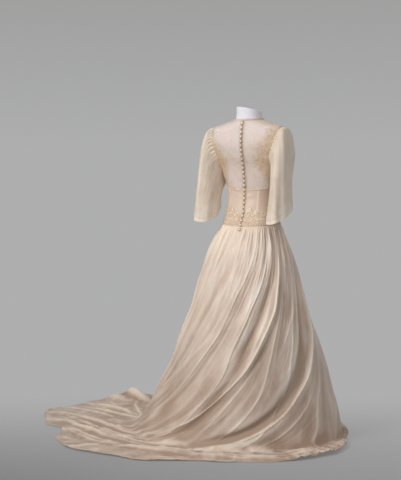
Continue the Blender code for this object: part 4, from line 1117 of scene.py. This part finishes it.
def sleeve_grid(back):
    """Outer points, normals and fold heights of a left sleeve."""
    loop, normals = armhole_edge(ARMHOLE_STEPS, back)
    edge = split_loop(loop, SLEEVE_SPLIT)
    facing = unit(split_loop(normals, SLEEVE_SPLIT))
    count = len(edge)
    psi = 2 * math.pi * np.arange(count) / count        # 0 underarm, 90 back, 180 shoulder
    centre_x, centre_y, half_x, half_y = SLEEVE_HEM
    middle_z, front_rise, back_fall, outer_rise = SLEEVE_HEM_Z
    sine = np.sin(psi)
    cosine = np.cos(psi)
    hem_x = centre_x - half_x * np.sign(cosine) * np.abs(cosine) ** 0.85
    hem_y = centre_y + half_y * np.sign(sine) * np.abs(sine) ** 0.9
    hem_z = middle_z + np.where(sine < 0, -front_rise * sine, -back_fall * sine)
    hem_z = hem_z - outer_rise * cosine
    hem = np.stack([hem_x, hem_y, hem_z], -1)
    top = (1 - cosine) / 2
    behind = np.maximum(sine, 0)
    leave = np.stack([0.35 + 0.55 * top, 0.15 + 0.30 * sine + 0.55 * behind * top,
                      -0.85 + 1.15 * top], -1)
    leave = unit(leave) * (0.10 + 0.08 * top + 0.05 * behind * top)[:, None]
    arrive = np.stack([0.02 - 0.04 * cosine, 0.05 * sine, -0.25 - 0.20 * top], -1)
    hole_middle = loop.mean(axis=0)
    inward = unit(hole_middle - edge)
    inward = unit(inward - (inward * facing).sum(-1, keepdims=True) * facing)
    start = edge + 0.0003 * inward + 0.0004 * (1 - top)[:, None] * facing
    share = np.linspace(0, 1, SLEEVE_ROWS) ** 1.2
    grid = []
    for t in share:
        a = (1 + 2 * t) * (1 - t) ** 2
        b = t * (1 - t) ** 2
        c = t * t * (3 - 2 * t)
        d = -t * t * (1 - t)
        grid.append(a * start + b * leave + c * hem + d * arrive)
    grid = np.array(grid)
    smooth = grid_normals(grid, True)
    deep = 0.003 * fade(share, 0.0, 0.12) + 0.006 * fade(share, 0.15, 1.0)
    uneven = 1 + 0.35 * np.sin(3 * psi + 0.7) + 0.2 * np.sin(5 * psi)
    wave = np.cos(SLEEVE_FOLDS * psi + 0.5 * np.sin(2 * psi)) * uneven
    rise = deep[:, None] * wave[None, :] * 0.30
    turn = np.degrees(psi)[None, :]
    share = share[:, None]
    for head, low, first, last, high, wide in SLEEVE_CREASES:
        middle = head + (low - head) * share
        shown = fade(share, first, first + 0.12) * (1 - 0.8 * fade(share, last - 0.3, last + 0.05))
        rise = rise + 0.07 * high * shown * np.exp(-(around(turn, middle) / (1.3 * wide)) ** 2)
    pleat = np.cos(np.radians(turn) * 46 + 1.3 * np.sin(np.radians(turn) * 5))
    head_share = fade((1 - np.cos(psi))[None, :] / 2, 0.2, 0.6)
    rise = rise + 0.0016 * pleat * head_share * fade(share, 0.0, 0.015) * (1 - fade(share, 0.05, 0.22))
    stretch = grid * np.array([1.0, 1.0, 0.35])
    rise = rise + fade(share, 0.02, 0.2) * (0.0026 * rough_noise(stretch, 16.0, 5)
                                            + 0.0008 * rough_noise(stretch, 60.0, 6))
    grid = grid + rise[..., None] * smooth
    return grid, grid_normals(grid, True), rise


def build_sleeves():
    for side, back, sign in zip(("left", "right"), ARMHOLE_BACK, (1.0, -1.0)):
        grid, normal, rise = sleeve_grid(back)
        rows, columns = rise.shape
        down = np.linspace(0, 1, rows)[:, None]
        hem_fold = fade(down, 0.968, 0.972) * np.ones((1, columns))
        dense = np.clip(0.35 * hem_fold + 0.35 * (1 - fade(down, 0.0, 0.12)), 0, 1)
        flip = np.array([sign, 1.0, 1.0])
        # the sleeve's fold tone paints shade in its hollows and a highlight on its ridges
        sleeve = add_shell("sleeve_%s_organza" % side, grid * flip, normal * flip, SHEER_CLOTH, ORGANZA,
                  (0.62, 0.42), wrap=True, outward=int(sign),
                  values=[("fold", fold_painted_shade_tone(rise, (10, 1), 0.009)), ("dense", dense)],
                  replaced=["sleeve_" + side], slot="ivory_silk")
        loop, facing = armhole_edge(ARMHOLE_STEPS, back)
        add_tube("armhole_piping_" + side, (loop + 0.0008 * facing) * flip, 0.0022, TAN_LACE,
                 closed=True, slot="ivory_satin")


# Buttons and loops

BUTTONS = 25
# radius, height over the cloth
BUTTON_OUTLINE = (
    (0.0024, 0.0000), (0.0040, 0.0004), (0.0053, 0.0012), (0.0058, 0.0022), (0.0056, 0.0032),
    (0.0048, 0.0042), (0.0036, 0.0050), (0.0020, 0.0055), (0.0007, 0.0057),
)
BUTTON_SIDES = 20
BUTTON_HEIGHT = 0.0060
PLACKET = (0.0042, 0.0006)          # half-width and rise of the strip under the buttons
LOOP = (0.00085, 0.0060, 0.0110)        # cord radius, half-width round the shank, reach


def button_frames():
    """Foot, facing and upward direction of each button, from the solids' own places."""
    middles = []
    for i in range(BUTTONS):
        low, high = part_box("button_%02d" % (i + 1))
        middles.append((np.array(low) + np.array(high)) / 2)
    middles = np.array(middles)
    up = unit(-np.gradient(middles, axis=0))
    side = np.array([1.0, 0.0, 0.0])
    out = unit(np.cross(up, side)) * -1.0
    return middles - out * BUTTON_HEIGHT / 2, out, up, side


def build_placket():
    """Strip of satin that the buttons stand on and their loops close over, coloured dark as painted shade between
    the buttons.
    """
    half, rise = PLACKET
    levels = np.linspace(SKIRT_SEAM + 0.05, NECKLINE - 0.05, 160)
    middle = np.full_like(levels, 90.0)
    wide = np.linalg.norm(body_base(middle + 0.5, levels) - body_base(middle - 0.5, levels), axis=-1)
    share = np.linspace(-half, half, 7)
    phi = middle[:, None] + share[None, :] / wide[:, None]
    level = np.broadcast_to(levels[:, None], phi.shape)
    outer = body_point(phi, level, rise * (1 - 0.4 * (share / half) ** 2) + bodice_relief(phi, level))
    strip = add_shell("button_placket", outer, grid_normals(outer), 0.0003, CORD_PAINTED_SHADE, (0.009, 0.46),
                      slot="ivory_satin")


def build_buttons():
    feet, outs, ups, side = button_frames()
    for i, (foot, out, up) in enumerate(zip(feet, outs, ups)):
        tilt = 0.0003 * math.sin(i * 2.3)
        points = []
        for radius, height in BUTTON_OUTLINE:
            for k in range(BUTTON_SIDES):
                turn = 2 * math.pi * k / BUTTON_SIDES
                pucker = 1 + 0.02 * math.cos(5 * turn + i) * (1 - height / BUTTON_HEIGHT)
                spoke = side * math.cos(turn) + up * math.sin(turn)
                lift = height + tilt * math.cos(turn) * height / BUTTON_HEIGHT
                points.append(foot + out * lift + radius * pucker * spoke)
        points.append(foot + out * BUTTON_OUTLINE[-1][1])
        faces = []
        for ring in range(len(BUTTON_OUTLINE) - 1):
            for k in range(BUTTON_SIDES):
                a = ring * BUTTON_SIDES + k
                b = ring * BUTTON_SIDES + (k + 1) % BUTTON_SIDES
                faces.append((a, b, b + BUTTON_SIDES, a + BUTTON_SIDES))
        first = (len(BUTTON_OUTLINE) - 1) * BUTTON_SIDES
        for k in range(BUTTON_SIDES):
            faces.append((first + k, first + (k + 1) % BUTTON_SIDES, len(points) - 1))
        faces.append(tuple(range(BUTTON_SIDES - 1, -1, -1)))
        # the buttons take the satin's pale ridge colour, a painted highlight
        add_mesh("button_%02d_covered" % (i + 1), points, faces, SATIN,
                 values=[("fold", np.full(len(points), 0.85))],
                 replaced=["button_%02d" % (i + 1)], slot="ivory_satin")
    radius, half, reach = LOOP
    all_points = []
    all_faces = []
    for foot, out, up in zip(feet, outs, ups):
        path = []
        for turn in np.linspace(-1.2, 1.2, 11):
            across = side * half * math.cos(turn) + up * half * math.sin(turn)
            path.append(foot + out * (0.0002 + radius) + across)
        start = foot + out * 0.0006 - side * reach + up * half * 0.9
        end = foot + out * 0.0006 - side * reach - up * half * 0.9
        points, faces = add_tube(None, [end] + path + [start], radius, None, sides=6)
        offset = len(all_points)
        all_points += points.tolist()
        all_faces += [tuple(v + offset for v in face) for face in faces]
    # the loops' dark colour is painted shade between the buttons
    add_mesh("button_loops", all_points, all_faces, CORD_PAINTED_SHADE, slot="ivory_satin")


# Lace sprigs

# Petal outline: share of its length, half-width share
PETAL = ((0.0, 0.06), (0.25, 0.75), (0.55, 1.0), (0.8, 0.7), (1.0, 0.08))
# Sprigs on the left half of the back: plan angle, level, turn in degrees, size
BACK_SPRIGS = (
    (33, 4.35, 60, 1.0), (44, 4.40, 110, 0.9), (56, 4.35, 70, 0.9), (69, 4.35, 100, 0.8), (80, 4.40, 80, 0.7),
    (37, 4.85, 95, 1.0), (47, 4.95, 60, 0.9), (59, 4.85, 120, 0.8), (74, 4.90, 75, 0.7), (83, 5.10, 100, 0.6),
    (38, 5.35, 80, 1.0), (48, 5.50, 115, 0.9), (60, 5.45, 85, 0.8), (82, 5.70, 80, 0.6), (71, 5.55, 60, 0.7),
    (41, 5.90, 70, 1.0), (50, 6.05, 100, 0.9), (62, 6.10, 70, 0.7), (81, 6.30, 105, 0.6), (40, 6.45, 95, 0.9),
    (47, 6.70, 75, 0.9), (57, 6.65, 110, 0.7), (39, 7.00, 85, 0.9), (46, 7.25, 105, 0.8), (81, 6.90, 80, 0.5),
    (36, 7.50, 75, 0.9), (44, 7.80, 95, 0.8), (55, 7.30, 70, 0.6), (33, 8.05, 120, 0.8), (45, 8.35, 70, 0.7),
    (58, 8.60, 110, 0.7), (72, 8.80, 80, 0.6), (82, 9.00, 100, 0.5), (42, 9.00, 95, 0.7), (60, 9.40, 80, 0.6),
    (80, 7.60, 75, 0.5), (79, 8.30, 105, 0.5), (66, 6.60, 85, 0.5), (68, 9.60, 100, 0.5), (84, 9.60, 80, 0.5),
)


SPECKS = (2600, 0.0026, 0.0056)     # tries on each side, shortest and longest leaf
SPRIG_LEAST = 0.30      # least lace at a place that still has a sprig


def on_body(phi, level, across, along, lift):
    """Point of the bodice at metres across and up from a place on it."""
    wide = np.linalg.norm(body_base(phi + 0.5, level) - body_base(phi - 0.5, level), axis=-1)
    tall = np.linalg.norm(body_base(phi, level + 0.05) - body_base(phi, level - 0.05), axis=-1) / 0.1
    return body_point(phi - across / wide, np.minimum(level + along / tall, NECKLINE), lift)


def add_petal(points, faces, spot, at, turn, length, width, lift):
    """One pressed petal of lace. at is its root in metres from the spot (phi, level)."""
    phi, level = spot
    cosine = math.cos(turn)
    sine = math.sin(turn)
    rim = [(length * s, width * w) for s, w in PETAL] + [(length * s, -width * w) for s, w in PETAL[::-1]]
    flat = np.array([(at[0] + x * cosine - y * sine, at[1] + x * sine + y * cosine) for x, y in rim])
    middle = np.array([[at[0] + 0.5 * length * cosine, at[1] + 0.5 * length * sine]])
    flat = np.concatenate([flat, middle])
    heights = np.full(len(flat), lift)
    heights[-1] = lift + 0.0007
    made = on_body(np.full(len(flat), float(phi)), np.full(len(flat), float(level)), flat[:, 0],
                   flat[:, 1], heights)
    first = len(points)
    points += made.tolist()
    count = len(rim)
    faces += [(first + k, first + (k + 1) % count, first + count) for k in range(count)]


def add_sprig(points, faces, spot, turn, size):
    """A flower of five petals on a curved stem with leaves in pairs."""
    turn = math.radians(turn)
    at = np.array([0.0, 0.0])
    bend = 0.25 if (spot[0] + int(spot[1] * 10)) % 2 else -0.25
    step = 0.0052 * size
    for k in range(5):
        heading = turn + bend * (k - 2)
        ahead = np.array([math.cos(heading), math.sin(heading)])
        for side in (-1, 1):
            add_petal(points, faces, spot, at, heading + side * 0.95, 0.0062 * size, 0.0016 * size, 0.0008)
        add_petal(points, faces, spot, at, heading, step * 1.1, 0.0005, 0.0007)
        at = at + ahead * step
    for k in range(5):
        add_petal(points, faces, spot, at, turn + 2 * math.pi * k / 5, 0.0058 * size, 0.0025 * size, 0.0010)


def add_specks(points, faces, mirror):
    """Small leaves and dots of lace thread, close together near the armhole and the seam."""
    chance = random.Random(7 if mirror else 3)
    for _ in range(SPECKS[0]):
        phi = chance.uniform(30.0, 88.0)
        level = chance.uniform(4.1, 9.7)
        dense = float(lace_density(np.array(180 - phi if mirror else phi), np.array(level)))
        left, right = ARMHOLE_BACK
        edge = (right if mirror else left) * float(armhole_share(np.array(level)))
        if phi < edge + 2.5 or chance.random() > 0.03 + 0.97 * dense:
            continue
        size = chance.uniform(*SPECKS[1:])
        add_petal(points, faces, (180 - phi if mirror else phi, level), (0.0, 0.0),
                  chance.uniform(0, 2 * math.pi), size, 0.32 * size, 0.0009)


def build_yoke_lace():
    for name, mirror in (("yoke_lace_left", False), ("yoke_lace_right", True)):
        points = []
        faces = []
        add_specks(points, faces, mirror)
        for phi, level, turn, size in BACK_SPRIGS:
            place = (180 - phi if mirror else phi, level)
            if lace_density(np.array(place[0]), np.array(level)) < SPRIG_LEAST:
                continue
            add_sprig(points, faces, place, 180 - turn if mirror else turn, size)
        for phi, level, turn, size in BACK_SPRIGS[::2]:
            place = (phi - 180 + 4 if mirror else -phi - 4, level)
            add_sprig(points, faces, place, turn, size)
        add_mesh(name, points, faces, TAN_LACE, slot="ivory_lace")


LACE_HEIGHT = (0.30, 0.42)          # share of the midriff's height in the dips and the scallops
LACE_GAP = 0.0007
SCALLOPS = 6


def build_waist_lace():
    """Two scalloped bands on the lower midriff, with pressed flowers and a picot edge."""
    for name, first, last in (("waist_lace_left", 1.0, 85.0), ("waist_lace_right", 95.0, 179.0)):
        phi = np.linspace(first, last, 181)
        share = np.linspace(0, 1, 181)
        low, high = LACE_HEIGHT
        top = 1.02 + 3 * (low + (high - low) * np.abs(np.sin(share * SCALLOPS * math.pi)) ** 0.7
                         + 0.05 * np.sin(share * 11.0 + first))
        part = np.linspace(0, 1, 16)[:, None]
        level = 1.02 + (top - 1.02)[None, :] * part
        phis = np.broadcast_to(phi, level.shape)
        ripple = 0.0004 * np.sin(np.radians(phis) * 60) * np.sin(part * 9)
        outer = body_point(phis, level, LACE_GAP + 0.0011 + ripple)
        border = np.broadcast_to(fade(part, 0.75, 1.0), level.shape)
        band = add_shell(name + "_band", outer, grid_normals(outer), 0.0008, BAND_LACE, (0.18, 0.05),
                         values=[("dense", 0.7 * border), ("fold", np.full(level.shape, 0.5))],
                         replaced=[name], slot="ivory_lace")
        points = []
        faces = []
        for k in range(SCALLOPS * 2 + 1):
            spot = (first + (last - first) * (k + 0.25) / (SCALLOPS * 2 + 1), 1.45 + 0.5 * (k % 2))
            for petal in range(6):
                turn = 2 * math.pi * petal / 6 + k
                add_petal(points, faces, spot, (0.0, 0.0), turn, 0.0074, 0.0028, 0.0022)
            for leaf in range(4):
                turn = math.pi / 4 + math.pi / 2 * leaf + 0.6 * k
                at = (0.0085 * math.cos(turn), 0.0085 * math.sin(turn))
                add_petal(points, faces, spot, at, turn + 0.5, 0.0065, 0.0018, 0.0021)
        add_mesh(name + "_flowers", points, faces, LACE, slot="ivory_lace")
        edge = body_point(phi, top, LACE_GAP + 0.0012)
        add_tube(name + "_picot", edge, 0.0009 + 0.0004 * np.sin(share * 180) ** 2, LACE,
                 slot="ivory_lace")


# Dress form

NECK = (0.040, 0.0565, 1.447, 0.0085)            # centre y, radius, top height, slope of the top
NECK_FLARE = 1.06       # width of its foot over its top
FORM_LOW_Z = 0.780


def build_form():
    """Smooth torso under the gown, its neck and its flat top."""
    sides = 120
    phi = 360.0 * np.arange(sides) / sides
    turn = np.radians(phi)
    neck_y, neck_radius, top, slope = NECK
    circle = np.stack([np.cos(turn), np.sin(turn), 0 * turn], -1)
    middle = np.array([0.0, neck_y, 0.0])
    first = body_point(phi, np.zeros(sides), -FORM_GAP)
    rings = [first * np.array([0.72 * s, 0.72 * s, 0.0]) + np.array([0.0, 0.0, FORM_LOW_Z])
             for s in (0.02, 0.5, 0.97)]
    rings.append(first * np.array([0.74, 0.74, 0.0]) + np.array([0.0, 0.0, FORM_LOW_Z + 0.002]))
    for level in np.linspace(0, 10, 101):
        rings.append(body_point(phi, np.full(sides, level), -FORM_GAP))
    last = rings[-1]
    foot = middle + NECK_FLARE * neck_radius * circle
    foot[:, 2] = last[:, 2] + 0.004
    for share in (0.35, 0.7, 1.0):
        bend = share ** 0.7
        ring = last * (1 - bend) + foot * bend
        ring[:, 2] = last[:, 2] + 0.004 * share ** 1.5
        rings.append(ring)
    tip = middle + neck_radius * circle
    tip[:, 2] = top - 0.004 + slope * (np.sin(turn) + np.cos(turn))
    for share in np.linspace(0.1, 1.0, 12):
        waist = 1 - 0.035 * math.sin(math.pi * share)
        ring = foot * (1 - share) + tip * share
        ring[:, :2] = middle[:2] + (ring[:, :2] - middle[:2]) * waist
        rings.append(ring)
    for size, lift in ((0.985, 0.0022), (0.95, 0.0034), (0.90, 0.0039), (0.60, 0.0040), (0.30, 0.0040),
                       (0.02, 0.0040)):
        ring = middle + neck_radius * size * circle
        ring[:, 2] = top - 0.004 + lift + slope * (np.sin(turn) + np.cos(turn)) * size
        rings.append(ring)
    points = np.concatenate(rings)
    faces = []
    for r in range(len(rings) - 1):
        for k in range(sides):
            a = r * sides + k
            b = r * sides + (k + 1) % sides
            faces.append((a, b, b + sides, a + sides))
    faces.append(tuple(range(sides - 1, -1, -1)))
    faces.append(tuple(range((len(rings) - 1) * sides, len(rings) * sides)))
    add_mesh("form_torso_jersey", points, faces, JERSEY, replaced=["form_torso"], slot="form_jersey")
    for name in ("form_pole", "form_base"):
        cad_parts[name].data.materials[0] = STEEL


# Stage: a pale floor that turns into the wall's tone behind the gown, light and camera

VIEW_POINT = (-2.0095, 3.9512, 1.27)
LOOK_AT = (0.231, 0.070, 0.862)
LENS = 74.25
WALL_TONE = (0.425, 0.425, 0.430)
WALL_HIGH = (0.345, 0.347, 0.342)
FLOOR_PAINTED_SHADE = ((0.34, 0.34, 0.35), (0.50, 0.50, 0.52))    # paper painted darker at the left than at the right, painted shade
WALL_TURN = (-1.0, 0.7)     # metres behind the gown where the floor begins and ends to turn


def build_stage():
    mesh = bpy.data.meshes.new("studio_floor")
    mesh.from_pydata([(-30, -30, 0), (30, -30, 0), (30, 30, 0), (-30, 30, 0)], [], [(0, 1, 2, 3)])
    floor = bpy.data.objects.new("studio_floor", mesh)
    bpy.context.scene.collection.objects.link(floor)
    made = bpy.data.materials.new("studio_paper")
    made.use_nodes = True
    tree = made.node_tree
    shader = tree.nodes["Principled BSDF"]
    shader.inputs["Roughness"].default_value = 0.9
    shader.inputs["Specular IOR Level"].default_value = 0.1
    where = add_node(tree, "ShaderNodeNewGeometry").outputs["Position"]
    heading = Vector((LOOK_AT[0] - VIEW_POINT[0], LOOK_AT[1] - VIEW_POINT[1], 0.0)).normalized()
    along = add_node(tree, "ShaderNodeVectorMath", operation="DOT_PRODUCT")
    tree.links.new(where, along.inputs[0])
    along.inputs[1].default_value = heading
    turn = add_node(tree, "ShaderNodeMapRange", [("From Min", WALL_TURN[0]), ("From Max", WALL_TURN[1])],
                    interpolation_type="SMOOTHSTEP")
    tree.links.new(along.outputs["Value"], turn.inputs["Value"])
    across = add_node(tree, "ShaderNodeVectorMath", operation="DOT_PRODUCT")
    tree.links.new(where, across.inputs[0])
    across.inputs[1].default_value = (heading.y, -heading.x, 0.0)
    side = add_node(tree, "ShaderNodeMapRange", [("From Min", -0.8), ("From Max", 0.8)])
    tree.links.new(across.outputs["Value"], side.inputs["Value"])
    # painted shade: the paper darker toward the left
    paper = ramp_colour(tree, side.outputs["Result"], ((0.0, FLOOR_PAINTED_SHADE[0]), (1.0, FLOOR_PAINTED_SHADE[1])))
    tree.links.new(paper, shader.inputs["Base Color"])
    glow = add_node(tree, "ShaderNodeEmission")
    glow.inputs["Color"].default_value = (*WALL_TONE, 1.0)
    mixed = add_node(tree, "ShaderNodeMixShader")
    tree.links.new(turn.outputs["Result"], mixed.inputs[0])
    tree.links.new(shader.outputs["BSDF"], mixed.inputs[1])
    tree.links.new(glow.outputs["Emission"], mixed.inputs[2])
    tree.links.new(mixed.outputs["Shader"], tree.nodes["Material Output"].inputs["Surface"])
    mesh.materials.append(made)


def build_world():
    world = bpy.data.worlds.new("studio")
    bpy.context.scene.world = world
    world.use_nodes = True
    tree = world.node_tree
    back = tree.nodes["Background"]
    where = add_node(tree, "ShaderNodeTexCoord").outputs["Generated"]
    split = add_node(tree, "ShaderNodeSeparateXYZ")
    tree.links.new(where, split.inputs["Vector"])
    colour = ramp_colour(tree, split.outputs["Z"], ((0.0, WALL_TONE), (0.16, WALL_HIGH)))
    tree.links.new(colour, back.inputs["Color"])


def add_light(name, place, aim, size, power, tint, spread=180):
    light = bpy.data.lights.new(name, "AREA")
    light.shape = "DISK"
    light.size = size
    light.energy = power
    light.color = tint
    light.spread = math.radians(spread)
    lamp = bpy.data.objects.new(name, light)
    lamp.location = place
    lamp.rotation_mode = "QUATERNION"
    lamp.rotation_quaternion = (Vector(aim) - Vector(place)).to_track_quat("-Z", "Y")
    bpy.context.scene.collection.objects.link(lamp)


def build_lights():
    add_light("key_softbox", (1.0, 2.3, 2.25), (0.0, 0.05, 1.15), 1.2, 16.0, (1.0, 0.985, 0.965), 100)
    add_light("shoulder_softbox", (-1.3, 1.3, 2.3), (-0.1, 0.0, 1.2), 0.9, 4.5, (0.98, 0.985, 1.0), 120)


def build_camera():
    lens = bpy.data.cameras.new("photo_camera")
    lens.sensor_width = 36.0
    lens.lens = LENS
    camera = bpy.data.objects.new("photo_camera", lens)
    camera.location = VIEW_POINT
    camera.rotation_mode = "QUATERNION"
    camera.rotation_quaternion = (Vector(LOOK_AT) - Vector(VIEW_POINT)).to_track_quat("-Z", "Y")
    bpy.context.scene.collection.objects.link(camera)
    bpy.context.scene.camera = camera
    bpy.context.scene.view_settings.view_transform = "Standard"


build_skirt()
build_bodice()
build_bodice_edges()
build_sleeves()
build_placket()
build_buttons()
build_yoke_lace()
build_waist_lace()
build_form()
build_stage()
build_world()
build_lights()
build_camera()
